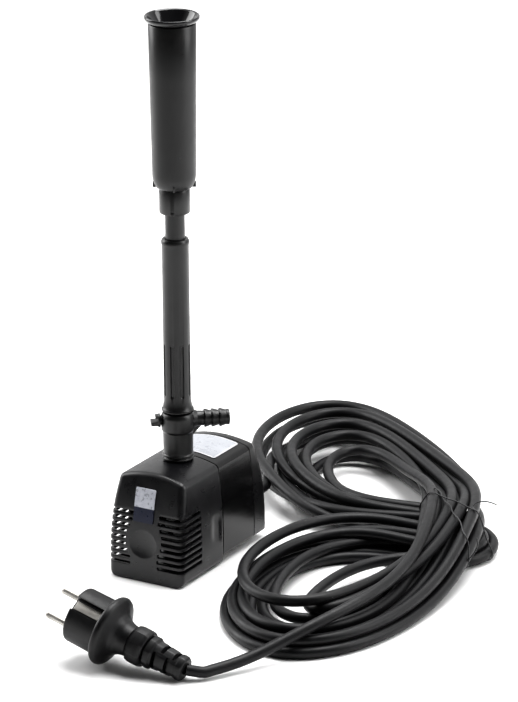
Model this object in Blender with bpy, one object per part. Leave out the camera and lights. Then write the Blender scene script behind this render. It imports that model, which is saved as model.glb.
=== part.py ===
"""A pond and fountain pump: strainer cover, wet-rotor motor, swivelling tee with a flow valve and hose barb,
telescopic riser, foam-jet nozzle, and a coiled mains lead with its plug. Metres, +Z up, front towards -Y.
The origin is the middle of the rectangle that the pump stands on."""

import math

import bmesh
import bpy
from mathutils import Matrix, Vector

GAP = 0.0003

# Pump body: an arched box, seen from the front, whose ends lean in towards the top.
BODY_LENGTH = 0.114
HALF_WIDTH = 0.0286
CROWN_HEIGHT = 0.0736
CROWN_RADIUS = 0.075
SHOULDER_RADIUS = 0.0045
SIDE_LEAN = 2.2
SIDE_LEAN_START = 0.028
END_LEAN = 2.8
END_LEAN_START = 0.012
CORNER_RADIUS = 0.0065
FOOT_CORNER = 0.0025
WALL = 0.002
FRONT_Y = -BODY_LENGTH / 2
BACK_Y = BODY_LENGTH / 2
COVER_SEAM_Y = -0.003
CAP_SEAM_Y = 0.038
SKIRT_HEIGHT = 0.005

# Intake slots round both front corners of the cover.
SLOT_COUNT = 9
SLOT_PITCH = 0.00438
SLOT_HEIGHT = 0.0021
SLOT_FIRST_Z = 0.0116
SLOT_SIDE_LENGTH = 0.026
DIMPLE_Z = 0.0262
DIMPLE_RADIUS = 0.0105
SLOT_CLEAR_RADIUS = 0.0142

# Wet end: rotor line, impeller chamber and outlet spout.
ROTOR_Z = 0.030
RISER_Y = -0.0124
CHAMBER_FRONT = -0.0240
CHAMBER_BACK = -0.0048
CHAMBER_RADIUS = 0.0195
SPOUT_RADIUS = 0.0068
SPOUT_TOP = 0.084
WELL_END = 0.0320
SHAFT_RADIUS = 0.0015

# Tee, its hose barb and its flow valve.
TEE_BOTTOM = 0.0743
TEE_TOP = 0.1068
STUB_TOP = 0.124
BARB_Z = 0.1012
BARB_ANGLE = math.radians(38.0)
BARB_REACH = 0.0345
BARB_NECK = 0.0050
BARB_PEAK = 0.0061

# Riser and nozzle.
LOWER_TUBE_BOTTOM = 0.1072
LOWER_TUBE_TOP = 0.2276
LOWER_TUBE_RADIUS = 0.0090
FLUTE_COUNT = 8
FLUTE_BOTTOM = 0.1168
FLUTE_TOP = 0.155
UPPER_TUBE_RADIUS = 0.00655
UPPER_TUBE_BOTTOM = 0.150
SOCKET_BOTTOM = 0.2457
SOCKET_TOP = 0.2623
NOZZLE_BOTTOM = 0.2626
NOZZLE_TOP = 0.3733
FLARE_TOP = 0.3785

# Mains lead: 7 mm rubber, wound into a hank whose turns fan out into two groups, and its plug.
CORD_RADIUS = 0.00375
GLAND_Z = 0.0155
GLAND_END = 0.0900
PLUG_CENTRE = Vector((0.0532, -0.1835, 0.0227))
PLUG_TILT = math.radians(15.5)
PLUG_ROLL = math.radians(40.0)
PLUG_FACE = -0.0250
PIN_LENGTH = 0.019
PIN_SPACING = 0.019
PLUG_FRONT_RADIUS = 0.0185
PLUG_END = 0.0570

# Each group of turns: centre, heading of its long axis, half length and half width to the middle of the band.
NEAR_COIL = dict(centre=(0.115, -0.0255), heading=99.2, half_length=0.089, half_width=0.054)
FAR_COIL = dict(centre=(0.0535, 0.1535), heading=-30.0, half_length=0.098, half_width=0.044)
BAND_WIDTH = 0.038
BAND_HEIGHT = 0.0205
BAND_CHAMFER = 0.006

EXIT_ROUTE = (
    (0.0, GLAND_END + GAP, GLAND_Z),
    (0.0, 0.0930, GLAND_Z),
    (-0.0009, 0.0975, 0.0151),
    (-0.0030, 0.1040, 0.0139),
    (-0.0062, 0.1105, 0.0123),
)
PLUG_ROUTE = (
    (0.1806, -0.0695, 0.0245),
    (0.1785, -0.0900, 0.0245),
    (0.1711, -0.1090, 0.0243),
    (0.1625, -0.1232, 0.0236),
    (0.1540, -0.1345, 0.0180),
    (0.1440, -0.1440, 0.0108),
    (0.1355, -0.1530, 0.0062),
    (0.1280, -0.1640, 0.0046),
    (0.1242, -0.1734, 0.0050),
    (0.1190, -0.1803, 0.0060),
    (0.1135, -0.1832, 0.0068),
    (0.1108, -0.1835, 0.0072),
)


def clear_scene():
    for leftover in list(bpy.data.objects):
        bpy.data.objects.remove(leftover, do_unlink=True)


def material(name, colour, roughness, metallic=0.0):
    made = bpy.data.materials.new(name)
    made.use_nodes = True
    shader = made.node_tree.nodes["Principled BSDF"]
    shader.inputs["Base Color"].default_value = (*colour, 1.0)
    shader.inputs["Roughness"].default_value = roughness
    shader.inputs["Metallic"].default_value = metallic
    made.diffuse_color = (*colour, 1.0)
    return made


def solid(name, points, faces, finish, origin=(0.0, 0.0, 0.0), turn=None):
    """A mesh object whose points are given about its own origin, placed there and turned."""
    mesh = bpy.data.meshes.new(name)
    mesh.from_pydata([tuple(point) for point in points], [], faces)
    work = bmesh.new()
    work.from_mesh(mesh)
    bmesh.ops.recalc_face_normals(work, faces=work.faces)
    work.to_mesh(mesh)
    work.free()
    mesh.shade_smooth()
    mesh.set_sharp_from_angle(angle=math.radians(32))
    mesh.materials.append(finish)
    made = bpy.data.objects.new(name, mesh)
    bpy.context.scene.collection.objects.link(made)
    placed = Matrix.Translation(Vector(origin))
    if turn is not None:
        placed = placed @ turn.to_4x4()
    made.matrix_world = placed
    return made


def hide_helper(made):
    made.hide_render = True
    made.display_type = "WIRE"
    return made


def combine(target, other, operation="DIFFERENCE"):
    """A Boolean modifier that takes the helper away from the target, or joins it on."""
    hide_helper(other)
    modifier = target.modifiers.new(other.name, "BOOLEAN")
    modifier.operation = operation
    modifier.solver = "EXACT"
    modifier.object = other
    modifier.show_render = modifier.show_viewport
    return target


def joint_empty(name, place):
    made = bpy.data.objects.new(name, None)
    made.location = place
    bpy.context.scene.collection.objects.link(made)
    return made


def attach(pieces, empty):
    for piece in pieces:
        piece.parent = empty
        piece.matrix_parent_inverse = Matrix.Translation(-empty.location)


def turned(name, profile, finish, origin=(0.0, 0.0, 0.0), turn=None, steps=32):
    """A turned solid about local Z. The profile is a list of (radius, height). One that starts and ends on the
    axis closes there, and any other is a closed loop, which leaves a bore. Cutters start at an odd angle, so
    that none of their edges lies exactly in an edge of the solid that they cut."""
    phase = 0.37 if "cutter" in name else 0.0
    points = []
    rings = []
    for radius, height in profile:
        if radius == 0.0:
            rings.append([len(points)])
            points.append((0.0, 0.0, height))
            continue
        first = len(points)
        for step in range(steps):
            angle = 2 * math.pi * (step + phase) / steps
            points.append((radius * math.cos(angle), radius * math.sin(angle), height))
        rings.append(list(range(first, first + steps)))
    pairs = list(zip(rings, rings[1:]))
    if profile[0][0] > 0.0:
        pairs.append((rings[-1], rings[0]))
    faces = []
    for lower, upper in pairs:
        for step in range(steps):
            following = (step + 1) % steps
            corners = [lower[step % len(lower)], lower[following % len(lower)]]
            corners += [upper[following % len(upper)], upper[step % len(upper)]]
            face = list(dict.fromkeys(corners))
            if len(face) > 2:
                faces.append(face)
    return solid(name, points, faces, finish, origin, turn)


def rod(name, radius, start, end, finish, origin=(0.0, 0.0, 0.0), turn=None, steps=24):
    profile = [(0.0, start), (radius, start), (radius, end), (0.0, end)]
    return turned(name, profile, finish, origin, turn, steps)


def tube(name, outer, inner, start, end, finish, origin=(0.0, 0.0, 0.0), turn=None, steps=32):
    profile = [(outer, start), (outer, end), (inner, end), (inner, start)]
    return turned(name, profile, finish, origin, turn, steps)


def block(name, low, high, finish, origin=(0.0, 0.0, 0.0), turn=None):
    points = [(x, y, z) for z in (low[2], high[2]) for y in (low[1], high[1]) for x in (low[0], high[0])]
    faces = [(0, 2, 3, 1), (4, 5, 7, 6), (0, 1, 5, 4), (2, 6, 7, 3), (0, 4, 6, 2), (1, 3, 7, 5)]
    return solid(name, points, faces, finish, origin, turn)


def half_width_at(height):
    return HALF_WIDTH - SIDE_LEAN * max(0.0, height - SIDE_LEAN_START) ** 2


def end_lean_at(height):
    return END_LEAN * max(0.0, height - END_LEAN_START) ** 2


def arch_section(inset, floor_height):
    """The body's outline across its width, as (x, z) from the right foot over the crown to the left foot."""
    foot = max(FOOT_CORNER - inset, 0.0008)
    base = floor_height + inset
    right = []
    for angle in (-90, -60, -30, 0):
        turn = math.radians(angle)
        x = HALF_WIDTH - inset - foot + foot * math.cos(turn)
        right.append((x, base + foot + foot * math.sin(turn)))
    for height in (0.020, 0.030, 0.040, 0.050, 0.058):
        right.append((half_width_at(height) - inset, height))
    shoulder_z = CROWN_HEIGHT - 0.0076
    shoulder_x = half_width_at(shoulder_z) - SHOULDER_RADIUS
    shoulder = SHOULDER_RADIUS - inset
    for angle in (0, 23, 46, 69):
        turn = math.radians(angle)
        right.append((shoulder_x + shoulder * math.cos(turn), shoulder_z + shoulder * math.sin(turn)))
    for share in (0.75, 0.5, 0.25):
        x = right[-1][0] if share == 0.75 else right[-1][0] / (share + 0.25)
        x = shoulder_x * share
        right.append((x, CROWN_HEIGHT - inset - x * x / (2 * CROWN_RADIUS)))
    return right + [(-x, z) for x, z in reversed(right)]


def end_rings(inset, floor_height, facing, flat_y):
    """Rings that round an end of the body off. Facing is -1 for the front end and +1 for the back end."""
    radius = CORNER_RADIUS - inset
    rings = []
    for angle in (0, 30, 60, 90):
        turn = math.radians(angle)
        tuck = radius * (1 - math.cos(turn))
        back_off = radius * (1 - math.sin(turn))
        ring = []
        for x, z in arch_section(inset + tuck, floor_height):
            surface = flat_y - facing * (end_lean_at(z) + inset + back_off)
            ring.append((x, surface, z))
        rings.append(ring)
    return rings


def loft(rings, first_strip=False, last_strip=False):
    """Faces that join rings of equal length, and close the outer rings with strips from side to side."""
    points = [point for ring in rings for point in ring]
    count = len(rings[0])
    faces = []
    for row in range(len(rings) - 1):
        for column in range(count):
            following = (column + 1) % count
            low = row * count
            high = low + count
            faces.append((low + column, low + following, high + following, high + column))
    for wanted, start in ((first_strip, 0), (last_strip, (len(rings) - 1) * count)):
        if not wanted:
            continue
        for column in range(count // 2 - 1):
            mirror = count - 1 - column
            faces.append((start + column, start + column + 1, start + mirror - 1, start + mirror))
    return points, faces


def end_shell(name, facing, open_y, floor_height, finish):
    """A hollow end piece of the body: one closed loft runs round the outside, over the rim and back inside."""
    flat_y = FRONT_Y if facing < 0 else BACK_Y
    outer = list(reversed(end_rings(0.0, floor_height, facing, flat_y)))
    inner = end_rings(WALL, floor_height, facing, flat_y)
    outer_rim = [(x, open_y, z) for x, z in arch_section(0.0, floor_height)]
    inner_rim = [(x, open_y, z) for x, z in arch_section(WALL, floor_height)]
    rings = outer + [outer_rim, inner_rim] + inner
    points, faces = loft(rings, first_strip=True, last_strip=True)
    return solid(name, points, faces, finish)


def slot_start(height):
    """How far from the middle a slot begins: slots beside the dimple stop short of a circle round it."""
    rise = abs(height - DIMPLE_Z)
    if rise >= SLOT_CLEAR_RADIUS:
        return 0.0098
    return max(0.0098, math.sqrt(SLOT_CLEAR_RADIUS**2 - rise**2))


def build_cover(black):
    cover = end_shell("strainer_cover", -1, COVER_SEAM_Y - GAP / 2, 0.0, black)
    far = HALF_WIDTH + 0.004
    front = FRONT_Y - 0.004
    side_end = FRONT_Y + SLOT_SIDE_LENGTH
    for side in (-1, 1):
        points = []
        faces = []
        for number in range(SLOT_COUNT):
            middle = SLOT_FIRST_Z + number * SLOT_PITCH
            ends = sorted((side * slot_start(middle), side * far))
            low = (ends[0], front, middle - SLOT_HEIGHT / 2)
            high = (ends[1], side_end, middle + SLOT_HEIGHT / 2)
            first = len(points)
            points += [(x, y, z) for z in (low[2], high[2]) for y in (low[1], high[1]) for x in (low[0], high[0])]
            corners = ((0, 2, 3, 1), (4, 5, 7, 6), (0, 1, 5, 4), (2, 6, 7, 3), (0, 4, 6, 2), (1, 3, 7, 5))
            faces += [tuple(first + corner for corner in face) for face in corners]
        name = "slot_cutter_left" if side < 0 else "slot_cutter_right"
        combine(cover, solid(name, points, faces, black))
    notch_half = SPOUT_RADIUS + 0.0007
    neck = rod("spout_hole_cutter", notch_half, 0.055, 0.080, black, (0.0, RISER_Y, 0.0))
    combine(cover, neck)
    low = (-notch_half, RISER_Y, 0.055)
    combine(cover, block("spout_notch_cutter", low, (notch_half, 0.004, 0.080), black))
    middle_y = FRONT_Y + end_lean_at(DIMPLE_Z)
    ball = 0.030
    sink = 0.0016
    reach = math.sqrt(ball**2 - (ball - sink) ** 2)
    cut = turned(
        "dimple_cutter",
        [(0.0, 0.0)]
        + [(ball * math.sin(angle), ball - ball * math.cos(angle)) for angle in (0.06, 0.13, 0.2, 0.27, 0.34)]
        + [(0.0, ball - ball * math.cos(0.34))],
        black,
        (-0.0008, middle_y + min(sink, reach), DIMPLE_Z),
        Matrix.Rotation(math.radians(90), 3, "X"),
        24,
    )
    combine(cover, cut)
    return cover


def build_motor_housing(black):
    """The housing is open to the back, where the stator goes in, and its rotor well is open to the front."""
    front = COVER_SEAM_Y + GAP / 2
    back = CAP_SEAM_Y - GAP / 2
    rings = [[(x, y, z) for x, z in arch_section(0.0, SKIRT_HEIGHT)] for y in (front, back)]
    points, faces = loft(rings, first_strip=True, last_strip=True)
    housing = solid("motor_housing", points, faces, black)
    hollow = [[(x, y, z) for x, z in arch_section(WALL, SKIRT_HEIGHT)] for y in (front + WALL, back + 0.004)]
    points, faces = loft(hollow, first_strip=True, last_strip=True)
    combine(housing, solid("housing_cutter", points, faces, black))
    along_y = Matrix.Rotation(math.radians(-90), 3, "X")
    line = (0.0, 0.0, ROTOR_Z)
    combine(housing, rod("well_wall", 0.0118, front + 0.001, WELL_END, black, line, along_y, 28), "UNION")
    bore = rod("well_cutter", 0.0103, front - 0.002, WELL_END - 0.0015, black, line, along_y, 28)
    combine(housing, bore)
    return housing


def build_rear_cap(black):
    cap = end_shell("rear_cap", 1, CAP_SEAM_Y + GAP / 2, SKIRT_HEIGHT, black)
    along_y = Matrix.Rotation(math.radians(-90), 3, "X")
    combine(cap, rod("gland_hole_cutter", 0.0049, 0.050, 0.062, black, (0.0, 0.0, GLAND_Z), along_y, 20))
    return cap


def build_base_foot(black):
    """A flat foot under the motor, narrower than the body, so that the body's sides stand clear of the floor."""
    points = []
    corner = 0.004
    half = 0.0205
    low_y = COVER_SEAM_Y + 0.0006
    high_y = 0.0490
    for centre_x, centre_y, start in (
        (half - corner, high_y - corner, 0),
        (-half + corner, high_y - corner, 90),
        (-half + corner, low_y + corner, 180),
        (half - corner, low_y + corner, 270),
    ):
        for angle in (0, 30, 60, 90):
            turn = math.radians(start + angle)
            points.append((centre_x + corner * math.cos(turn), centre_y + corner * math.sin(turn)))
    count = len(points)
    levels = [(x, y, z) for z in (0.0, SKIRT_HEIGHT - GAP) for x, y in points]
    faces = [tuple(range(count)), tuple(range(count, 2 * count))]
    faces += [(i, (i + 1) % count, count + (i + 1) % count, count + i) for i in range(count)]
    return solid("base_foot", levels, faces, black)


def build_chamber(black):
    """The impeller chamber: a cup, open to the motor, with its outlet spout and an inlet with a bush holder."""
    along_y = Matrix.Rotation(math.radians(-90), 3, "X")
    line = (0.0, 0.0, ROTOR_Z)
    cup = rod("impeller_chamber", CHAMBER_RADIUS, CHAMBER_FRONT, CHAMBER_BACK, black, line, along_y, 32)
    spout_line = (0.0, RISER_Y, 0.0)
    combine(cup, rod("spout_wall", SPOUT_RADIUS, ROTOR_Z, SPOUT_TOP, black, spout_line, None, 28), "UNION")
    inside = CHAMBER_RADIUS - 0.0018
    combine(cup, rod("chamber_cutter", inside, CHAMBER_FRONT + 0.0018, 0.0, black, line, along_y, 32))
    combine(cup, rod("spout_cutter", 0.0050, ROTOR_Z, SPOUT_TOP + 0.01, black, spout_line, None, 28))
    inlets = 6
    for number in range(inlets):
        angle = 2 * math.pi * (number + 0.5) / inlets
        spot = (0.0064 * math.cos(angle), 0.0, ROTOR_Z + 0.0064 * math.sin(angle))
        hole = rod(f"inlet_cutter_{number}", 0.0023, CHAMBER_FRONT - 0.01, CHAMBER_FRONT + 0.01, black, spot, along_y, 16)
        combine(cup, hole)
    combine(cup, rod("bush_seat_cutter", 0.0024, CHAMBER_FRONT + 0.0006, CHAMBER_BACK, black, line, along_y, 16))
    return cup


def build_rotor(dark_plastic, ferrite, ceramic, rubber, axis):
    along_y = Matrix.Rotation(math.radians(-90), 3, "X")
    line = (0.0, 0.0, ROTOR_Z)
    hub = tube("impeller", 0.0036, 0.0018, -0.0190, 0.0012, dark_plastic, line, along_y, 24)
    plate = tube("impeller_plate", 0.0145, 0.0030, -0.0075, -0.0062, dark_plastic, line, along_y, 32)
    combine(hub, plate, "UNION")
    blades = 6
    for number in range(blades):
        turn = along_y @ Matrix.Rotation(2 * math.pi * number / blades, 3, "Z")
        low = (0.0031, -0.0006, -0.0165)
        high = (0.0140, 0.0006, -0.0068)
        combine(hub, block(f"blade_{number}", low, high, dark_plastic, line, turn), "UNION")
    magnet = tube("rotor_magnet", 0.0093, 0.0019, 0.0016, 0.0270, ferrite, line, along_y, 28)
    attach([hub, magnet], axis)
    shaft = rod("rotor_shaft", SHAFT_RADIUS, -0.0225, 0.0298, ceramic, line, along_y, 16)
    front = tube("front_bush", 0.0021, SHAFT_RADIUS + 0.0001, -0.0230, -0.0195, rubber, line, along_y, 16)
    rear = tube("rear_bush", 0.0060, SHAFT_RADIUS + 0.0001, 0.0275, 0.0300, rubber, line, along_y, 20)
    return shaft, front, rear


def build_stator(iron, copper, bobbin_plastic):
    """Laminated core round the rotor well, with its winding on the leg below the crown."""
    low_y = 0.0060
    high_y = 0.0290
    core = block("stator_core", (-0.0180, low_y, 0.0120), (0.0180, high_y, 0.0610), iron)
    along_y = Matrix.Rotation(math.radians(-90), 3, "X")
    bore = rod("core_bore_cutter", 0.0122, 0.0, 0.05, iron, (0.0, 0.0, ROTOR_Z), along_y, 28)
    combine(core, bore)
    window = block("core_window_cutter", (-0.0110, 0.0, 0.0450), (0.0110, 0.05, 0.0540), iron)
    combine(core, window)
    combine(core, block("core_slit_cutter", (-0.0012, 0.0, 0.0400), (0.0012, 0.05, 0.0460), iron))
    inner = (-0.0095, low_y - 0.0006, 0.0537)
    frame = block("coil_bobbin", (-0.0100, low_y - 0.0030, 0.0455), (0.0100, high_y + 0.0030, 0.0640), bobbin_plastic)
    combine(frame, block("bobbin_core_cutter", (-0.02, inner[1], inner[2]), (0.02, high_y + 0.0006, 0.0616), iron))
    winding_space = block("bobbin_winding_cutter", (-0.0085, -0.02, 0.0430), (0.0085, 0.06, 0.0525), iron)
    combine(frame, winding_space)
    coil = block("stator_winding", (-0.0080, low_y - 0.0015, 0.0458), (0.0080, high_y + 0.0015, 0.0521), copper)
    return core, frame, coil


def build_seals(rubber):
    along_y = Matrix.Rotation(math.radians(-90), 3, "X")
    section = [(0.0188, -0.0044), (0.0192, -0.0039), (0.0188, -0.0034), (0.0180, -0.0034), (0.0176, -0.0039)]
    section += [(0.0180, -0.0044)]
    turned("chamber_seal", section, rubber, (0.0, 0.0, ROTOR_Z), along_y)
    ring = [(0.0096, 0.0742 - GAP), (0.0100, 0.0739), (0.0096, 0.0738), (0.0078, 0.0738), (0.0074, 0.0740)]
    turned("outlet_seal", ring + [(0.0078, 0.0742 - GAP)], rubber, (0.0, RISER_Y, 0.0))


def sideways(angle):
    """Turns local Z to point level, at this angle from +X towards +Y."""
    return Matrix.Rotation(angle, 3, "Z") @ Matrix.Rotation(math.radians(90), 3, "Y")


def build_tee(black, axis):
    line = (0.0, RISER_Y, 0.0)
    profile = [(0.0, TEE_BOTTOM), (0.0104, TEE_BOTTOM), (0.0106, TEE_BOTTOM + 0.0012), (0.0099, 0.0761)]
    profile += [(0.0106, 0.0767), (0.0106, 0.0780), (0.0100, 0.0788), (0.0102, 0.0936), (0.0111, 0.0946)]
    profile += [(0.0113, TEE_TOP - 0.0030), (0.0112, TEE_TOP + 0.0040), (0.0, TEE_TOP + 0.0040)]
    tee = turned("tee_body", profile, black, line, None, 36)
    side = (0.0, RISER_Y, BARB_Z)
    out = sideways(BARB_ANGLE)
    barb = [(0.0, 0.0), (BARB_NECK, 0.0), (BARB_NECK, 0.0170)]
    for number in range(3):
        foot = 0.0170 + number * 0.0050
        barb += [(BARB_PEAK, foot + 0.0002), (BARB_NECK, foot + 0.0045)]
    barb += [(BARB_NECK + 0.0002, 0.0325), (BARB_NECK, BARB_REACH), (0.0, BARB_REACH)]
    combine(tee, turned("barb_wall", barb, black, side, out, 28), "UNION")
    combine(tee, rod("rim_seat_cutter", 0.0118, TEE_TOP, TEE_TOP + 0.02, black, line, None, 36))
    combine(tee, rod("stub_wall", 0.0064, 0.095, STUB_TOP, black, line, None, 28), "UNION")
    combine(tee, rod("spout_seat_cutter", SPOUT_RADIUS + 0.0003, 0.060, 0.0865, black, line, None, 28))
    combine(tee, rod("tee_bore_cutter", 0.0028, 0.080, 0.140, black, line, None, 24))
    cross_bore = [(0.0, -0.020), (0.0033, -0.020), (0.0033, 0.0078), (0.0024, 0.0078), (0.0024, 0.0125)]
    cross_bore += [(0.0036, 0.0140), (0.0036, 0.050), (0.0, 0.050)]
    combine(tee, turned("cross_bore_cutter", cross_bore, black, side, out, 24))
    attach([tee], axis)
    return tee


def build_valve(black, axis):
    side = (0.0, RISER_Y, BARB_Z)
    out = sideways(BARB_ANGLE)
    profile = [(0.0, -0.0130), (0.0046, -0.0130), (0.0046, -0.0117), (0.0032, -0.0117), (0.0032, 0.0074), (0.0, 0.0074)]
    valve = turned("flow_valve", profile, black, side, out, 24)
    combine(valve, rod("valve_port_cutter", 0.0023, -0.020, 0.020, black, side, None, 20))
    combine(valve, rod("valve_outlet_cutter", 0.0022, 0.0, 0.020, black, side, out, 20))
    lower = block("valve_fin_lower", (-0.0002, -0.0042, -0.0182), (0.0027, 0.0042, -0.0124), black, side, out)
    upper = block("valve_fin_upper", (-0.0037, -0.0028, -0.0152), (-0.0019, 0.0028, -0.0124), black, side, out)
    combine(valve, lower, "UNION")
    combine(valve, upper, "UNION")
    attach([valve], axis)
    return valve


def build_riser(black, tee_axis, slide):
    line = (0.0, RISER_Y, 0.0)
    bore = UPPER_TUBE_RADIUS + 0.0004
    outside = LOWER_TUBE_RADIUS
    profile = [(0.0102, LOWER_TUBE_BOTTOM), (0.0108, 0.1078), (0.0108, 0.1090), (0.0098, 0.1108), (0.0094, 0.1132)]
    profile += [(outside, 0.1143), (outside, 0.2258), (outside - 0.0010, LOWER_TUBE_TOP), (bore, LOWER_TUBE_TOP)]
    profile += [(bore, LOWER_TUBE_BOTTOM)]
    lower = turned("riser_lower_tube", profile, black, line, None, 40)
    points = []
    faces = []
    for number in range(FLUTE_COUNT):
        turn = Matrix.Rotation(2 * math.pi * (number + 0.5) / FLUTE_COUNT, 3, "Z")
        first = len(points)
        for height, sink in ((FLUTE_BOTTOM, 0.0), (FLUTE_BOTTOM + 0.0016, 0.0009), (FLUTE_TOP - 0.004, 0.0009), (FLUTE_TOP, 0.0)):
            for x, y in ((outside - sink, -0.0011), (outside + 0.002, -0.0011), (outside + 0.002, 0.0011), (outside - sink, 0.0011)):
                points.append(turn @ Vector((x, y, height)))
        for row in range(3):
            for column in range(4):
                low = first + row * 4
                following = (column + 1) % 4
                faces.append((low + column, low + following, low + 4 + following, low + 4 + column))
        faces += [tuple(first + i for i in range(4)), tuple(first + 12 + i for i in range(4))]
    combine(lower, solid("flute_cutter", points, faces, black, line))
    upper = tube("riser_upper_tube", UPPER_TUBE_RADIUS, 0.0050, UPPER_TUBE_BOTTOM, 0.2560, black, line)
    attach([lower], tee_axis)
    attach([upper], slide)


def build_nozzle(black, gloss, axis):
    line = (0.0, RISER_Y, 0.0)
    bore = UPPER_TUBE_RADIUS + 0.0003
    socket = [(0.0098, SOCKET_BOTTOM), (0.0102, SOCKET_BOTTOM + 0.0005), (0.0102, SOCKET_TOP), (0.0042, SOCKET_TOP)]
    socket += [(0.0042, 0.2566), (bore, 0.2566), (bore, SOCKET_BOTTOM)]
    nozzle_socket = turned("nozzle_socket", socket, black, line)
    profile = [(0.0104, NOZZLE_BOTTOM), (0.0126, 0.2644), (0.0139, 0.2678), (0.0144, 0.2726), (0.0156, NOZZLE_TOP)]
    profile += [(0.0145, NOZZLE_TOP), (0.0133, 0.2736), (0.0125, 0.2686), (0.0106, 0.2651), (0.0042, 0.2644)]
    profile += [(0.0042, NOZZLE_BOTTOM)]
    body = turned("nozzle_body", profile, black, line, None, 36)
    flare = [(0.0141, 0.3620), (0.0142, 0.3736), (0.0158, 0.3737), (0.0168, 0.3745), (0.0177, 0.3760)]
    flare += [(0.0180, 0.3770), (0.0179, 0.3779), (0.0173, FLARE_TOP), (0.0164, 0.3779), (0.0150, 0.3757)]
    flare += [(0.0100, 0.3686), (0.0062, 0.3620)]
    bell = turned("nozzle_bell", flare, gloss, line, None, 36)
    core = [(0.0060, 0.2647), (0.0060, 0.2666), (0.0038, 0.2691), (0.0030, 0.3560), (0.0020, 0.3560), (0.0026, 0.2647)]
    jet = turned("jet_tube", core, black, line, None, 24)
    attach([nozzle_socket, body, bell, jet], axis)


def surface_patch(name, low, high, lift, thickness, height_of, finish, origin=(0.0, 0.0, 0.0)):
    """A thin plate that follows a curved face. Height_of gives the face's level at a point of the plate."""
    steps = 6
    points = []
    for level in (lift, lift + thickness):
        for row in range(steps + 1):
            for column in range(steps + 1):
                u = low[0] + (high[0] - low[0]) * column / steps
                v = low[1] + (high[1] - low[1]) * row / steps
                points.append(height_of(u, v, level))
    width = steps + 1
    half = width * width
    faces = []
    for row in range(steps):
        for column in range(steps):
            corner = row * width + column
            square = (corner, corner + 1, corner + width + 1, corner + width)
            faces.append(square)
            faces.append(tuple(half + index for index in square))
    border = [column for column in range(width)]
    border += [row * width + steps for row in range(1, width)]
    border += [steps * width + column for column in range(steps - 1, -1, -1)]
    border += [row * width for row in range(steps - 1, 0, -1)]
    for start, end in zip(border, border[1:] + border[:1]):
        faces.append((start, end, half + end, half + start))
    return solid(name, points, faces, finish, origin)


def build_labels(badge, silver, cover_slide):
    def on_front(x, z, level):
        return (x, FRONT_Y + end_lean_at(z) - level, z)

    def on_crown(x, y, level):
        return (x, y, CROWN_HEIGHT - x * x / (2 * CROWN_RADIUS) + level)

    plate = surface_patch("badge_plate", (-0.0100, 0.0413), (0.0056, 0.0638), GAP, 0.0005, on_front, badge)
    attach([plate], cover_slide)
    surface_patch("rating_label", (-0.0185, 0.0020), (0.0185, 0.0345), GAP, 0.0002, on_crown, silver)


def build_gland(rubber):
    along_y = Matrix.Rotation(math.radians(-90), 3, "X")
    profile = [(0.0, 0.0515), (0.0056, 0.0515), (0.0056, 0.0535), (0.0046, 0.0538), (0.0046, 0.0573), (0.0072, 0.0576)]
    profile += [(0.0072, 0.0600), (0.0062, 0.0625), (0.0054, 0.0760), (0.0047, GLAND_END), (0.0, GLAND_END)]
    return turned("cable_gland", profile, rubber, (0.0, 0.0, GLAND_Z), along_y, 24)


def oval_point(coil, share, offset):
    """A point of an oval with round ends, pushed outwards by the offset."""
    angle = 2 * math.pi * share
    reach = coil["half_length"] - coil["half_width"]
    spread = coil["half_width"] + offset
    along = spread * math.cos(angle) + reach * math.sin(math.pi / 2 * math.cos(angle))
    across = spread * math.sin(angle)
    heading = math.radians(coil["heading"])
    x = coil["centre"][0] + along * math.cos(heading) - across * math.sin(heading)
    y = coil["centre"][1] + along * math.sin(heading) + across * math.cos(heading)
    return x, y


def coil_ring(name, coil, rubber):
    """The outer shape of one group of turns: a band with chamfered edges, swept round the oval."""
    half = BAND_WIDTH / 2
    inner = half - BAND_CHAMFER
    top = BAND_HEIGHT
    section = [(half, BAND_CHAMFER * 0.6), (half, top - BAND_CHAMFER), (inner, top), (-inner, top)]
    section += [(-half, top - BAND_CHAMFER), (-half, BAND_CHAMFER * 0.6), (-inner, 0.0002), (inner, 0.0002)]
    steps = 40
    points = []
    for step in range(steps):
        for offset, height in section:
            points.append((*oval_point(coil, step / steps, offset), height))
    count = len(section)
    faces = []
    for step in range(steps):
        low = step * count
        high = ((step + 1) % steps) * count
        for column in range(count):
            following = (column + 1) % count
            faces.append((low + column, low + following, high + following, high + column))
    return solid(name, points, faces, rubber)


def smooth_route(route, spacing):
    """Points on a Catmull-Rom curve through the route's points, about this far apart."""
    knots = [Vector(point) for point in route]
    knots = [2 * knots[0] - knots[1], *knots, 2 * knots[-1] - knots[-2]]
    points = []
    for before, start, end, after in zip(knots, knots[1:], knots[2:], knots[3:]):
        steps = max(1, round((end - start).length / spacing))
        for step in range(steps):
            t = step / steps
            bend = 2 * start + (end - before) * t + (2 * before - 5 * start + 4 * end - after) * t**2
            points.append(0.5 * (bend + (3 * start - before - 3 * end + after) * t**3))
    points.append(knots[-2])
    return points


def cord_tube(name, route, spacing, rubber):
    curve = bpy.data.curves.new(name, "CURVE")
    curve.dimensions = "3D"
    curve.bevel_depth = CORD_RADIUS
    curve.bevel_resolution = 2
    curve.use_fill_caps = True
    points = smooth_route(route, spacing)
    spline = curve.splines.new("POLY")
    spline.points.add(len(points) - 1)
    for target, point in zip(spline.points, points):
        target.co = (*point, 1.0)
    curve.materials.append(rubber)
    made = bpy.data.objects.new(name, curve)
    bpy.context.scene.collection.objects.link(made)
    return made


def build_cord(rubber, steel):
    hank = coil_ring("cord_hank", NEAR_COIL, rubber)
    combine(hank, coil_ring("far_turns", FAR_COIL, rubber), "UNION")
    cord_tube("cord_exit_run", EXIT_ROUTE, 0.004, rubber)
    cord_tube("cord_plug_run", PLUG_ROUTE, 0.012, rubber)
    return hank


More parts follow.
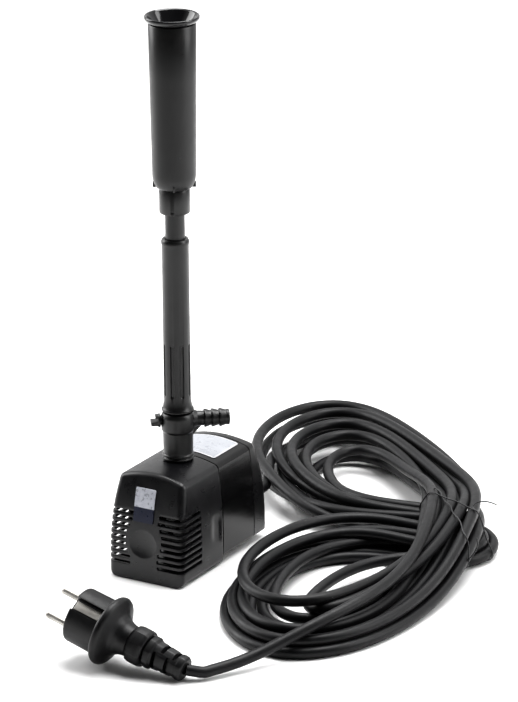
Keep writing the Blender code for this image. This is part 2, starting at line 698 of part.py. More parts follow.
def build_plug(rubber, nickel):
    """The plug lies on the rim of its flange and on its sleeve, with its pins pointing up and away."""
    forward = Vector((math.cos(PLUG_TILT), 0.0, -math.sin(PLUG_TILT)))
    side = Vector((0.0, 1.0, 0.0))
    upward = forward.cross(side)
    frame = Matrix((side, upward, forward)).transposed()
    if frame.determinant() < 0:
        frame = Matrix((-side, upward, forward)).transposed()
    frame = frame @ Matrix.Rotation(PLUG_ROLL, 3, "Z")
    front = PLUG_FRONT_RADIUS
    profile = [(0.0, PLUG_FACE), (front - 0.001, PLUG_FACE), (front, PLUG_FACE + 0.001), (front, -0.0030)]
    profile += [(0.0215, -0.0028), (0.0231, -0.0014), (0.0233, 0.0002), (0.0228, 0.0018), (0.0205, 0.0032)]
    profile += [(0.0160, 0.0052), (0.0125, 0.0082), (0.0106, 0.0120), (0.0100, 0.0167), (0.0, 0.0167)]
    body = turned("plug_body", profile, rubber, PLUG_CENTRE, frame, 32)
    for number, sign in enumerate((-1, 1)):
        low = (-0.0045, min(sign * 0.0138, sign * 0.030), PLUG_FACE - 0.005)
        high = (0.0045, max(sign * 0.0138, sign * 0.030), -0.0033)
        combine(body, block(f"earth_groove_cutter_{number}", low, high, rubber, PLUG_CENTRE, frame))
        spot = PLUG_CENTRE + frame @ Vector((sign * PIN_SPACING / 2, 0.0, 0.0))
        hole = rod(f"pin_hole_cutter_{number}", 0.0027, PLUG_FACE - 0.005, PLUG_FACE + 0.0105, rubber, spot, frame, 16)
        combine(body, hole)
        low = (-0.0030, min(sign * 0.0142, sign * 0.0150), PLUG_FACE + 0.002)
        high = (0.0030, max(sign * 0.0142, sign * 0.0150), -0.0040)
        block(f"earth_clip_{number + 1}", low, high, nickel, PLUG_CENTRE, frame)
        tip = PLUG_FACE - PIN_LENGTH
        pin = [(0.0, tip), (0.0014, tip + 0.0002), (0.0024, tip + 0.0016), (0.0024, PLUG_FACE + 0.0100)]
        turned(f"plug_pin_{number + 1}", pin + [(0.0, PLUG_FACE + 0.0100)], nickel, spot, frame, 16)
    collar = [(0.0, 0.0170), (0.0108, 0.0170), (0.0120, 0.0190), (0.0123, 0.0230), (0.0120, 0.0275), (0.0112, 0.0287)]
    turned("plug_collar", collar + [(0.0, 0.0287)], rubber, PLUG_CENTRE, frame, 24)
    sleeve = [(0.0, 0.0290), (0.0100, 0.0290), (0.0100, 0.0330), (0.0080, 0.0520), (0.0082, 0.0530)]
    sleeve += [(0.0080, 0.0560), (0.0070, PLUG_END), (0.0, PLUG_END)]
    turned("plug_strain_relief", sleeve, rubber, PLUG_CENTRE, frame, 24)


def main():
    clear_scene()
    black = material("black_plastic", (0.032, 0.032, 0.036), 0.42)
    riser_black = material("riser_plastic", (0.040, 0.040, 0.042), 0.48)
    gloss = material("gloss_plastic", (0.012, 0.012, 0.013), 0.12)
    rubber = material("cord_rubber", (0.030, 0.030, 0.032), 0.55)
    seal = material("seal_rubber", (0.020, 0.020, 0.020), 0.70)
    inner_plastic = material("inner_plastic", (0.60, 0.60, 0.58), 0.45)
    ferrite = material("ferrite", (0.06, 0.06, 0.06), 0.55, 0.2)
    ceramic = material("ceramic", (0.85, 0.84, 0.80), 0.25)
    iron = material("laminated_iron", (0.35, 0.34, 0.33), 0.40, 0.9)
    copper = material("enamelled_copper", (0.62, 0.24, 0.10), 0.30, 0.9)
    nickel = material("nickel_plate", (0.80, 0.79, 0.76), 0.18, 1.0)
    badge = material("badge_foil", (0.10, 0.12, 0.22), 0.35, 0.3)
    silver = material("label_foil", (0.78, 0.79, 0.81), 0.30, 0.6)
    riser_foot = Vector((0.0, RISER_Y, TEE_BOTTOM))
    rotor_axis = joint_empty("rotor_axis", Vector((0.0, 0.0, ROTOR_Z)))
    cover_slide = joint_empty("cover_slide", Vector((0.0, COVER_SEAM_Y, 0.0)))
    tee_axis = joint_empty("tee_axis", riser_foot)
    valve_axis = joint_empty("valve_axis", Vector((0.0, RISER_Y, BARB_Z)))
    riser_slide = joint_empty("riser_slide", Vector((0.0, RISER_Y, UPPER_TUBE_BOTTOM)))
    nozzle_axis = joint_empty("nozzle_axis", Vector((0.0, RISER_Y, SOCKET_BOTTOM)))
    attach([build_cover(black)], cover_slide)
    build_motor_housing(black)
    build_rear_cap(black)
    build_base_foot(black)
    build_chamber(inner_plastic)
    build_rotor(inner_plastic, ferrite, ceramic, seal, rotor_axis)
    build_stator(iron, copper, inner_plastic)
    build_seals(seal)
    build_tee(riser_black, tee_axis)
    build_valve(riser_black, valve_axis)
    build_riser(riser_black, tee_axis, riser_slide)
    build_nozzle(riser_black, gloss, nozzle_axis)
    build_labels(badge, silver, cover_slide)
    build_gland(seal)
    build_cord(rubber, nickel)
    build_plug(rubber, nickel)
    attach([valve_axis, riser_slide], tee_axis)
    attach([nozzle_axis], riser_slide)


main()
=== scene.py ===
"""The looks of the fountain pump: shells, riser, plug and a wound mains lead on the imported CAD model.
Metres, +Z up, front towards -Y, as in the CAD model."""

import math

import bmesh
import bpy
import numpy as np
from mathutils import Matrix, Vector


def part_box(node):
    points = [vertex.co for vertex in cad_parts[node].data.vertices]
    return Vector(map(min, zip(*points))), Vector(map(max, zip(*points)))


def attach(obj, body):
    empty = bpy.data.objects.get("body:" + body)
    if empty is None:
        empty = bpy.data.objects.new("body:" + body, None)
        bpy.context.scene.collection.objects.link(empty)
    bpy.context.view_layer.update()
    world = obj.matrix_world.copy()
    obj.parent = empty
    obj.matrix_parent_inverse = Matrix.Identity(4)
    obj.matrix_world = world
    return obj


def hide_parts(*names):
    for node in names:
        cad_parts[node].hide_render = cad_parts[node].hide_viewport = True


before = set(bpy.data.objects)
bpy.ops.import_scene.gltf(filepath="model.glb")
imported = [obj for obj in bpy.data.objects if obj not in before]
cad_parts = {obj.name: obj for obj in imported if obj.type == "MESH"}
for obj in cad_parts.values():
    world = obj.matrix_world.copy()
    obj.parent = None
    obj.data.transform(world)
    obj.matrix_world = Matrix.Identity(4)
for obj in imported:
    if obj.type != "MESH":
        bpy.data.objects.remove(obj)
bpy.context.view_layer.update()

GAP = 0.0003
MM = 0.001
SCENE = bpy.context.scene


# ---------------------------------------------------------------- where things are, from the CAD model
def corner(node):
    low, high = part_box(node)
    return Vector(low), Vector(high)


cover_low, cover_high = corner("strainer_cover")
housing_low, housing_high = corner("motor_housing")
cap_low, cap_high = corner("rear_cap")
tee_low = corner("tee_body")[0]
riser_low, riser_high = corner("riser_lower_tube")
inner_low, inner_high = corner("riser_upper_tube")
bell_low, bell_high = corner("nozzle_bell")
body_low, body_high = corner("nozzle_body")
socket_low, socket_high = corner("nozzle_socket")
RISER_Y = (riser_low.y + riser_high.y) / 2
RISER_LINE = Vector((0.0, RISER_Y, 0.0))
FRONT_Y = cover_low.y
BACK_Y = cap_high.y
SEAM_Y = (cover_high.y + housing_low.y) / 2
CAP_SEAM_Y = (housing_high.y + cap_low.y) / 2
HALF_WIDTH = cover_high.x
CROWN_Z = 0.0736
SKIRT_Z = housing_low.z
BARB_Z = 0.1012
BARB_ANGLE = math.radians(38.0)
ROTOR_Z = 0.030
GLAND_Z = 0.0155
CROWN_RADIUS = 0.075
SHOULDER_Z = CROWN_Z - 0.0076
SHOULDER_RADIUS = 0.0045
SIDE_FALL, SIDE_FALL_Z = 2.2, 0.028
END_LEAN, END_LEAN_Z = 2.8, 0.012
WALL = 0.002
CAP_FOOT = 0.0025
TEE_TOP = 0.1068


# ---------------------------------------------------------------- node materials
def nodes_of(name):
    made = bpy.data.materials.new(name)
    made.use_nodes = True
    tree = made.node_tree
    coords = tree.nodes.new("ShaderNodeTexCoord").outputs["Object"]
    return made, tree, tree.nodes["Principled BSDF"], coords


def noise(tree, coords, scale, detail=4.0, rough=0.55, stretch=None):
    if stretch is not None:
        mapping = tree.nodes.new("ShaderNodeMapping")
        mapping.inputs["Scale"].default_value = stretch
        tree.links.new(coords, mapping.inputs["Vector"])
        coords = mapping.outputs["Vector"]
    made = tree.nodes.new("ShaderNodeTexNoise")
    made.inputs["Scale"].default_value = scale
    made.inputs["Detail"].default_value = detail
    made.inputs["Roughness"].default_value = rough
    tree.links.new(coords, made.inputs["Vector"])
    return made.outputs["Fac"]


def remap(tree, value, low, high, out_low=0.0, out_high=1.0):
    made = tree.nodes.new("ShaderNodeMapRange")
    made.inputs["From Min"].default_value = low
    made.inputs["From Max"].default_value = high
    made.inputs["To Min"].default_value = out_low
    made.inputs["To Max"].default_value = out_high
    tree.links.new(value, made.inputs["Value"])
    return made.outputs["Result"]


def mix(tree, factor, first, second, amount=1.0):
    made = tree.nodes.new("ShaderNodeMix")
    made.data_type = "RGBA"
    if amount != 1.0:
        scaled = tree.nodes.new("ShaderNodeMath")
        scaled.operation = "MULTIPLY"
        scaled.inputs[1].default_value = amount
        tree.links.new(factor, scaled.inputs[0])
        factor = scaled.outputs[0]
    tree.links.new(factor, made.inputs["Factor"])
    for socket, colour in ((made.inputs["A"], first), (made.inputs["B"], second)):
        if isinstance(colour, tuple):
            socket.default_value = (*colour, 1.0)
        else:
            tree.links.new(colour, socket)
    return made.outputs["Result"]


def bumped(tree, shader, heights):
    """Chains bump nodes, one for each (height, strength, distance)."""
    previous = None
    for height, strength, distance in heights:
        made = tree.nodes.new("ShaderNodeBump")
        made.inputs["Strength"].default_value = strength
        made.inputs["Distance"].default_value = distance
        tree.links.new(height, made.inputs["Height"])
        if previous is not None:
            tree.links.new(previous, made.inputs["Normal"])
        previous = made.outputs["Normal"]
    tree.links.new(previous, shader.inputs["Normal"])


def dress(tree, shader, colour, rough, others):
    """Links the colour and the roughness, and sets the other inputs that are named."""
    tree.links.new(colour, shader.inputs["Base Color"])
    tree.links.new(rough, shader.inputs["Roughness"])
    for name, value in others.items():
        shader.inputs[name].default_value = value


def moulded(name, dark, light, rough, grain=1400.0, bump=0.12, wear=0.25, dust=0.10, metallic=0.0,
        spread=0.08,
            specular=0.5):
    """Moulded plastic or rubber: blotchy tone, grain, worn edges, specks of dust and faint rub marks."""
    made, tree, shader, coords = nodes_of(name)
    cloud = noise(tree, coords, 38.0, 5.0)
    fine = noise(tree, coords, grain, 3.0)
    rub = noise(tree, coords, 110.0, 6.0, 0.7)
    specks = noise(tree, coords, 900.0, 2.0, 0.5)
    colour = mix(tree, remap(tree, cloud, 0.3, 0.7), dark, light)
    pointed = tree.nodes.new("ShaderNodeNewGeometry").outputs["Pointiness"]
    worn = tuple(min(1.0, 0.03 + 2.2 * part) for part in light)
    colour = mix(tree, remap(tree, pointed, 0.53, 0.66), colour, worn, wear)
    dusty = tuple(min(1.0, 0.10 + 2.0 * part) for part in light)
    colour = mix(tree, remap(tree, specks, 0.70, 0.80), colour, dusty, dust)
    uneven = remap(tree, rub, 0.25, 0.75, rough - spread, rough + spread)
    dress(tree, shader, colour, uneven, {"Metallic": metallic, "Specular IOR Level": specular})
    bumped(tree, shader, [(cloud, 0.05, 0.0004), (fine, bump, 0.00006)])
    return made


def rubber_finish(name):
    """Rubber of a mains lead: matt black with a slight sheen, lint, pale scuffs and a slow unevenness."""
    made, tree, shader, coords = nodes_of(name)
    cloud = noise(tree, coords, 55.0, 5.0)
    fine = noise(tree, coords, 1500.0, 4.0, 0.6)
    lint = noise(tree, coords, 620.0, 2.0, 0.45)
    scuff = noise(tree, coords, 130.0, 6.0, 0.75)
    colour = mix(tree, remap(tree, cloud, 0.3, 0.7), (0.0013, 0.0013, 0.0018), (0.0036, 0.0036, 0.0046))
    colour = mix(tree, remap(tree, scuff, 0.62, 0.80), colour, (0.026, 0.026, 0.026), 0.40)
    colour = mix(tree, remap(tree, lint, 0.74, 0.80), colour, (0.22, 0.22, 0.22), 0.35)
    sheen = {"Specular IOR Level": 0.30, "Sheen Weight": 0.02, "Sheen Roughness": 0.5}
    dress(tree, shader, colour, remap(tree, scuff, 0.25, 0.75, 0.36, 0.56), sheen)
    bumped(tree, shader, [(cloud, 0.12, 0.0006), (fine, 0.14, 0.00008)])
    return made


def metal_finish(name, colour, rough):
    """Bare metal, a little dull in patches, with fine drawing marks."""
    made, tree, shader, coords = nodes_of(name)
    drawn = noise(tree, coords, 300.0, 4.0, 0.6, (0.15, 1.0, 1.0))
    cloud = noise(tree, coords, 120.0, 4.0)
    dull = tuple(part * 0.72 for part in colour)
    clouded = mix(tree, remap(tree, cloud, 0.35, 0.75), colour, dull)
    dress(tree, shader, clouded, remap(tree, drawn, 0.3, 0.7, rough * 0.7, rough * 1.5), {"Metallic": 1.0})
    bumped(tree, shader, [(drawn, 0.06, 0.00005)])
    return made


def badge_finish():
    """Generic foil badge: a plain silver field over a plain dark blue one."""
    made, tree, shader, coords = nodes_of("badge_finish")
    split = tree.nodes.new("ShaderNodeSeparateXYZ")
    tree.links.new(coords, split.inputs[0])
    brushed = noise(tree, coords, 420.0, 3.0, 0.5)
    cloud = noise(tree, coords, 160.0, 3.0)
    silver = mix(tree, brushed, (0.42, 0.44, 0.50), (0.66, 0.67, 0.72))
    navy = mix(tree, cloud, (0.007, 0.009, 0.022), (0.016, 0.020, 0.044))
    middle = BADGE_LOW_Z + 0.4 * (BADGE_HIGH_Z - BADGE_LOW_Z)
    upper = remap(tree, split.outputs["Z"], middle + 0.0006, middle + 0.0010)
    dress(tree, shader, mix(tree, upper, navy, silver), remap(tree, brushed, 0.3, 0.7, 0.24, 0.40),
        {"Metallic": 0.35})
    bumped(tree, shader, [(brushed, 0.05, 0.00005)])
    return made


def label_finish(low, high):
    """Silver film with a lighter border and grey speckle, and no lettering."""
    made, tree, shader, coords = nodes_of("label_finish")
    split = tree.nodes.new("ShaderNodeSeparateXYZ")
    tree.links.new(coords, split.inputs[0])
    cloud = noise(tree, coords, 90.0, 4.0)
    speckle = noise(tree, coords, 520.0, 3.0, 0.6, (0.6, 1.6, 1.0))
    film = mix(tree, cloud, (0.33, 0.345, 0.37), (0.43, 0.44, 0.47))
    film = mix(tree, remap(tree, speckle, 0.58, 0.66), film, (0.22, 0.23, 0.27), 0.60)
    inside = None
    for axis, start, end in (("X", low[0], high[0]), ("Y", low[1], high[1])):
        for edge, sign in ((start, 1.0), (end, -1.0)):
            step = remap(tree, split.outputs[axis], edge + sign * 0.0010, edge + sign * 0.0013)
            if inside is None:
                inside = step
                continue
            both = tree.nodes.new("ShaderNodeMath")
            both.operation = "MULTIPLY"
            tree.links.new(inside, both.inputs[0])
            tree.links.new(step, both.inputs[1])
            inside = both.outputs[0]
    bordered = mix(tree, inside, (0.54, 0.54, 0.56), film)
    dress(tree, shader, bordered, remap(tree, cloud, 0.3, 0.7, 0.22, 0.36), {"Metallic": 0.25})
    bumped(tree, shader, [(speckle, 0.04, 0.00004)])
    return made


def floor_finish():
    made, tree, shader, coords = nodes_of("floor_finish")
    cloud = noise(tree, coords, 3.0, 3.0)
    pale = mix(tree, cloud, (0.86, 0.86, 0.86), (0.885, 0.88, 0.875))
    dress(tree, shader, pale, remap(tree, cloud, 0.3, 0.7, 0.62, 0.72), {"Specular IOR Level": 0.2})
    return made


BADGE_LOW_Z = 0.0415
BADGE_HIGH_Z = 0.0640
BADGE_LEFT = -0.0098
BADGE_RIGHT = 0.0056
LABEL_LOW = (-0.0185, 0.0030)
LABEL_HIGH = (0.0185, 0.0355)

cover_black = moulded("cover_black", (0.0036, 0.0036, 0.0044), (0.0066, 0.0066, 0.0078), 0.31, bump=0.10,
    wear=0.30, specular=0.44)
housing_black = moulded("housing_black", (0.0016, 0.0016, 0.0019), (0.0034, 0.0033, 0.0036), 0.20, bump=0.05,
    wear=0.20, spread=0.04, specular=0.32)
cap_black = moulded("cap_black", (0.0026, 0.0026, 0.0031), (0.0050, 0.0050, 0.0056), 0.30, bump=0.10)
riser_grey = moulded("riser_charcoal", (0.0038, 0.0038, 0.0040), (0.0064, 0.0064, 0.0066), 0.34,
    grain=1100.0, bump=0.16)
gloss_black = moulded("gloss_black", (0.006, 0.006, 0.007), (0.010, 0.010, 0.011), 0.10, bump=0.03, wear=0.1,
    dust=0.05, spread=0.03)
plug_black = moulded("plug_rubber", (0.0016, 0.0016, 0.0020), (0.0036, 0.0036, 0.0043), 0.42, grain=1700.0,
    bump=0.25, wear=0.35, dust=0.3, specular=0.36)
gasket = moulded("gasket_rubber", (0.010, 0.010, 0.010), (0.018, 0.018, 0.018), 0.60)
inner_grey = moulded("inner_plastic_grey", (0.030, 0.030, 0.032), (0.050, 0.050, 0.052), 0.42)
magnet = moulded("ferrite_black", (0.030, 0.029, 0.028), (0.055, 0.053, 0.050), 0.50, bump=0.30, metallic=0.2)
ceramic = moulded("ceramic_white", (0.70, 0.69, 0.66), (0.82, 0.81, 0.78), 0.22, bump=0.05, wear=0.0,
    dust=0.0)
iron = metal_finish("laminated_iron_sheet", (0.34, 0.33, 0.32), 0.38)
copper = metal_finish("enamelled_copper_wire", (0.55, 0.22, 0.09), 0.28)
nickel = metal_finish("nickel_plate_bright", (0.50, 0.485, 0.455), 0.44)
cord_rubber = rubber_finish("cord_rubber_black")
wire_black = moulded("tie_wire_black", (0.010, 0.010, 0.011), (0.018, 0.018, 0.020), 0.35, bump=0.1)


# ---------------------------------------------------------------- mesh helpers
def piece(name, points, faces, finish, origin=(0, 0, 0), turn=None, sharp=35.0, welded=True):
    mesh = bpy.data.meshes.new(name)
    mesh.from_pydata([tuple(p) for p in points], [], faces)
    work = bmesh.new()
    work.from_mesh(mesh)
    if welded:
        bmesh.ops.remove_doubles(work, verts=work.verts, dist=1e-7)
    bmesh.ops.recalc_face_normals(work, faces=work.faces)
    work.to_mesh(mesh)
    work.free()
    placed = Matrix.Translation(Vector(origin))
    if turn is not None:
        placed = placed @ turn.to_4x4()
    mesh.transform(placed)
    mesh.shade_smooth()
    mesh.set_sharp_from_angle(angle=math.radians(sharp))
    mesh.materials.append(finish)
    made = bpy.data.objects.new(name, mesh)
    SCENE.collection.objects.link(made)
    return made


def applied(target):
    """The target with its modifiers applied, and sharp edges marked again."""
    bpy.context.view_layer.update()
    graph = bpy.context.evaluated_depsgraph_get()
    mesh = bpy.data.meshes.new_from_object(target.evaluated_get(graph))
    target.modifiers.clear()
    target.data = mesh
    mesh.shade_smooth()
    mesh.set_sharp_from_angle(angle=math.radians(35))
    return target


def carve(target, cutters, operation="DIFFERENCE"):
    for cutter in cutters:
        modifier = target.modifiers.new(cutter.name, "BOOLEAN")
        modifier.operation = operation
        modifier.solver = "EXACT"
        modifier.object = cutter
    applied(target)
    for cutter in cutters:
        bpy.data.objects.remove(cutter, do_unlink=True)
    return target


def edged(target, width, segments=2, angle=38.0):
    modifier = target.modifiers.new("edge", "BEVEL")
    modifier.width = width
    modifier.segments = segments
    modifier.limit_method = "ANGLE"
    modifier.angle_limit = math.radians(angle)
    modifier.use_clamp_overlap = True
    modifier.harden_normals = False
    return applied(target)


def filleted(profile, radius, arcs=3, closed=False):
    """The profile with its corners rounded by short curves."""
    points = [Vector(p) for p in profile]
    count = len(points)
    out = []
    for index, point in enumerate(points):
        if not closed and index in (0, count - 1):
            out.append(tuple(point))
            continue
        before = points[index - 1]
        after = points[(index + 1) % count]
        into = before - point
        away = after - point
        if into.length < 1e-9 or away.length < 1e-9 or into.angle(away) > math.radians(168):
            out.append(tuple(point))
            continue
        cut = min(radius, 0.42 * into.length, 0.42 * away.length)
        start = point + into.normalized() * cut
        end = point + away.normalized() * cut
        for step in range(arcs + 1):
            t = step / arcs
            out.append(tuple(start * (1 - t) ** 2 + point * 2 * t * (1 - t) + end * t**2))
    return out


def lathe(name, profile, finish, origin=RISER_LINE, turn=None, steps=96, sharp=35.0, shape=None):
    """A turned piece about local Z. Shape may push a point in or out by its angle and height."""
    closed = profile[0][0] > 1e-9
    points, rings = [], []
    for radius, height in profile:
        if radius < 1e-9:
            rings.append([len(points)] * steps)
            points.append((0.0, 0.0, height))
            continue
        rings.append(list(range(len(points), len(points) + steps)))
        for step in range(steps):
            angle = 2 * math.pi * step / steps
            reach = radius if shape is None else shape(radius, height, angle)
            points.append((reach * math.cos(angle), reach * math.sin(angle), height))
    pairs = list(zip(rings, rings[1:]))
    if closed:
        pairs.append((rings[-1], rings[0]))
    faces = []
    for low, high in pairs:
        for step in range(steps):
            after = (step + 1) % steps
            face = list(dict.fromkeys((low[step], low[after], high[after], high[step])))
            if len(face) > 2:
                faces.append(face)
    return piece(name, points, faces, finish, origin, turn, sharp)


def box_piece(name, low, high, finish, origin=(0, 0, 0), turn=None, bevel=0.0, segments=3, which=None):
    work = bmesh.new()
    bmesh.ops.create_cube(work, size=1.0)
    for vertex in work.verts:
        vertex.co = Vector(low[i] + (high[i] - low[i]) * (vertex.co[i] + 0.5) for i in range(3))
    if bevel:
        edges = [edge for edge in work.edges if which is None or which(edge)]
        bmesh.ops.bevel(work, geom=edges, offset=bevel, segments=segments, profile=0.5, affect="EDGES")
    points = [tuple(vertex.co) for vertex in work.verts]
    work.verts.index_update()
    faces = [[vertex.index for vertex in face.verts] for face in work.faces]
    work.free()
    return piece(name, points, faces, finish, origin, turn)


def rod(name, radius, low, high, finish, origin=RISER_LINE, turn=None, steps=96):
    """A plain cylinder between two heights on local Z."""
    return lathe(name, [(0.0, low), (radius, low), (radius, high), (0.0, high)], finish, origin, turn, steps)


def loft_faces(rows, width):
    """The faces between closed rings of points that follow each other."""
    faces = []
    for start in range(0, (rows - 1) * width, width):
        for column in range(width):
            after = (column + 1) % width
            faces.append((start + column, start + after, start + width + after, start + width + column))
    return faces


def end_faces(start, width):
    """Closes a mirrored ring with strips from one half to the other."""
    last = start + width - 1
    return [(start + row, start + row + 1, last - row - 1, last - row) for row in range(width // 2 - 1)]


def span(sign, near, far):
    """Two distances from the middle, on the side that the sign gives, in rising order."""
    return sorted((sign * near, sign * far))


def stand_for(made, body, node, slot):
    """Puts a piece on its body, in the place of its CAD node."""
    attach(made, body)
    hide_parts(node)


def sideways(angle):
    """Turns local Z to point level, at this angle from +X towards +Y."""
    return Matrix.Rotation(angle, 3, "Z") @ Matrix.Rotation(math.radians(90), 3, "Y")


ALONG_Y = Matrix.Rotation(math.radians(-90), 3, "X")


# ---------------------------------------------------------------- pump body
def half_width_at(z):
    return HALF_WIDTH - SIDE_FALL * max(0.0, z - SIDE_FALL_Z) ** 2


def lean_at(z):
    return END_LEAN * max(0.0, z - END_LEAN_Z) ** 2


def arch(inset, floor_z, foot, rows=34, crown=14):
    """The body's outline and its normals, from the right foot over the crown to the left one."""
    base = floor_z + inset
    foot = max(foot - inset, 0.0006)
    right = []
    for step in range(9):
        turn = math.radians(-90 + 90 * step / 8)
        x = HALF_WIDTH - inset - foot + foot * math.cos(turn)
        right.append((x, base + foot + foot * math.sin(turn), math.cos(turn), math.sin(turn)))
    start = base + foot
    for step in range(1, rows):
        z = start + (SHOULDER_Z - start) * step / rows
        slope = 2 * SIDE_FALL * max(0.0, z - SIDE_FALL_Z)
        length = math.hypot(1.0, slope)
        right.append((half_width_at(z) - inset, z, 1 / length, slope / length))
    centre_x = half_width_at(SHOULDER_Z) - SHOULDER_RADIUS
    for step in range(10):
        turn = math.radians(8 + 69 * step / 9)
        reach = SHOULDER_RADIUS - inset
        right.append((centre_x + reach * math.cos(turn), SHOULDER_Z + reach * math.sin(turn), math.cos(turn),
            math.sin(turn)))
    for step in range(1, crown):
        x = centre_x * (1 - step / crown)
        slope = x / CROWN_RADIUS
        length = math.hypot(1.0, slope)
        right.append((x, CROWN_Z - inset - x * x / (2 * CROWN_RADIUS), slope / length, 1 / length))
    return right + [(-x, z, -nx, nz) for x, z, nx, nz in reversed(right)]


def edge_radius(nx, nz, top, side, bottom):
    return side * nx * nx + (top if nz > 0 else bottom) * nz * nz


def end_rings(inset, floor_z, foot, facing, flat_y, radii, steps=7):
    rings = []
    for step in range(steps + 1):
        turn = math.radians(90 * step / steps)
        ring = []
        for x, z, nx, nz in arch(inset, floor_z, foot):
            radius = max(edge_radius(nx, nz, *radii) - inset, 0.0004)
            tuck = radius * (1 - math.cos(turn))
            back = radius * (1 - math.sin(turn))
            px, pz = x - nx * tuck, z - nz * tuck
            ring.append((px, flat_y - facing * (lean_at(pz) + inset + back), pz))
        rings.append(ring)
    return rings


def body_shell(facing, open_y, floor_z, foot, radii, span_rows, columns=44):
    """An end piece of the body: curved face, rounded edges, sides, rim and inner surface in one loft."""
    flat_y = FRONT_Y if facing < 0 else BACK_Y
    outer = end_rings(0.0, floor_z, foot, facing, flat_y, radii)
    inner = end_rings(WALL, floor_z, foot, facing, flat_y, radii, 3)
    seam = [(x, z) for x, z, _, _ in arch(0.0, floor_z, foot)]
    lip = 0.0004
    first = outer[0]
    sides = []
    for step in range(1, span_rows + 1):
        share = step / span_rows
        ring = []
        for (x0, y0, z0), (x1, z1) in zip(first, seam):
            y = y0 + (open_y + facing * lip - y0) * share
            ring.append((x0 + (x1 - x0) * share, y, z0 + (z1 - z0) * share))
        sides.append(ring)
    rim_out = [(x - nx * lip, open_y, z - nz * lip) for x, z, nx, nz in arch(0.0, floor_z, foot)]
    rim_in = [(x, open_y, z) for x, z, _, _ in arch(WALL, floor_z, foot)]
    rings = list(reversed(outer)) + sides + [rim_out, rim_in] + inner
    count = len(rings[0])
    points = [p for ring in rings for p in ring]
    faces = loft_faces(len(rings), count)
    half = count // 2
    grid = []
    for row in range(half):
        left, right = count - 1 - row, row
        a, b = Vector(points[right]), Vector(points[left])
        line = [right]
        for column in range(1, columns):
            p = a.lerp(b, column / columns)
            line.append(len(points))
            points.append(tuple(p))
        line.append(left)
        grid.append(line)
    for low, high in zip(grid, grid[1:]):
        for column in range(columns):
            faces.append((low[column], low[column + 1], high[column + 1], high[column]))
    return points, faces + end_faces((len(rings) - 1) * count, count)


DIMPLE = Vector((-0.0016, 0.0, 0.0265))
DIMPLE_RADIUS, DIMPLE_DEPTH = 0.0106, 0.00155
RECESS_DEPTH = 0.0006
SLOTS = 9
SLOT_FIRST_Z = 0.0116
SLOT_PITCH = 0.00438
SLOT_HALF = 0.00122
# Inner ends of the slots in millimetres from the dimple's middle, from the lowest slot up.
SLOT_RIGHT = (10.8, 10.5, 11.2, 13.2, 13.9, 13.7, 12.2, 10.5, 11.2)
SLOT_LEFT = (9.8, 9.8, 11.3, 13.3, 13.5, 13.0, 10.6, 8.8, 8.4)


def smooth_step(value):
    value = max(0.0, min(1.0, value))
    return value * value * (3 - 2 * value)


def dent(point):
    """The shallow finger recesses near the seam, as moves of the cover's outer surface."""
    x, y, z = point
    move = Vector((0.0, 0.0, 0.0))
    if abs(x) > HALF_WIDTH - 0.0035 and y > -0.020:
        across = smooth_step((y + 0.0180) / 0.0050) * smooth_step((-0.0048 - y) / 0.0030)
        slant = z + 0.35 * (y + 0.010)
        along = smooth_step((slant - 0.0175) / 0.004) * smooth_step((0.0375 - slant) / 0.004)
        move.x -= math.copysign(RECESS_DEPTH, x) * across * along
    return Vector(point) + move


def build_cover():
    radii = (0.0030, 0.0044, 0.0011)
    open_y = SEAM_Y - GAP / 2
    points, faces = body_shell(-1, open_y, 0.0, 0.0052, radii, 30)
    moved = []
    for p in points:
        on_outside = abs(p[0]) > half_width_at(p[2]) - 0.0012 or p[1] < FRONT_Y + lean_at(p[2]) + 0.0009
        moved.append(dent(p) if on_outside else Vector(p))
    cover = piece("cover_shell", moved, faces, cover_black)
    # The dimple is a shallow spherical bowl, square to the leaning front face
    reach, deep = DIMPLE_RADIUS, DIMPLE_DEPTH
    curve = (reach * reach + deep * deep) / (2 * deep)
    bowl = [(0.0, -deep)]
    for step in range(1, 25):
        out = reach * 1.25 * step / 24
        bowl.append((out, curve - deep - math.sqrt(curve * curve - out * out)))
    bowl += [(reach * 1.25, 0.006), (0.0, 0.006)]
    lean = math.atan(2 * END_LEAN * (DIMPLE.z - END_LEAN_Z))
    square = Matrix.Rotation(-lean, 3, "X") @ sideways(math.radians(-90))
    middle = Vector((DIMPLE.x, FRONT_Y + lean_at(DIMPLE.z), DIMPLE.z))
    carve(cover, [lathe("dimple_cut", bowl, cover_black, middle, square, 96)])
    cutters = []
    for number in range(SLOTS):
        middle = SLOT_FIRST_Z + number * SLOT_PITCH
        for side, inner in ((1, SLOT_RIGHT[number]), (-1, SLOT_LEFT[number])):
            near = side * inner * MM + DIMPLE.x
            ends = sorted((near, side * (HALF_WIDTH + 0.004)))
            low = (ends[0], FRONT_Y - 0.004, middle - SLOT_HALF)
            high = (ends[1], FRONT_Y + 0.0262, middle + SLOT_HALF)
            inner_x = low[0] if side > 0 else high[0]

            def rounds(edge, inner_x=inner_x, back=high[1]):
                a, b = (v.co for v in edge.verts)
                upright = abs(a.z - b.z) > 1e-6
                at_inner = abs(a.x - inner_x) < 1e-6 and abs(b.x - inner_x) < 1e-6
                at_back = abs(a.y - back) < 1e-6 and abs(b.y - back) < 1e-6
                return not upright and (at_inner or at_back)

            cutters.append(box_piece(f"slot_{number}_{side}", low, high, cover_black, bevel=0.00085,
                segments=3, which=rounds))
    neck = rod("neck_cut", 0.0075, 0.055, 0.080, cover_black, steps=48)
    notch = box_piece("notch_cut", (-0.0075, RISER_Y, 0.0551), (0.0075, 0.004, 0.0801), cover_black)
    carve(cover, cutters)
    carve(cover, [neck])
    carve(cover, [notch])
    edged(cover, 0.00022)
    stand_for(cover, "cover", "strainer_cover", "black_plastic")
    return cover


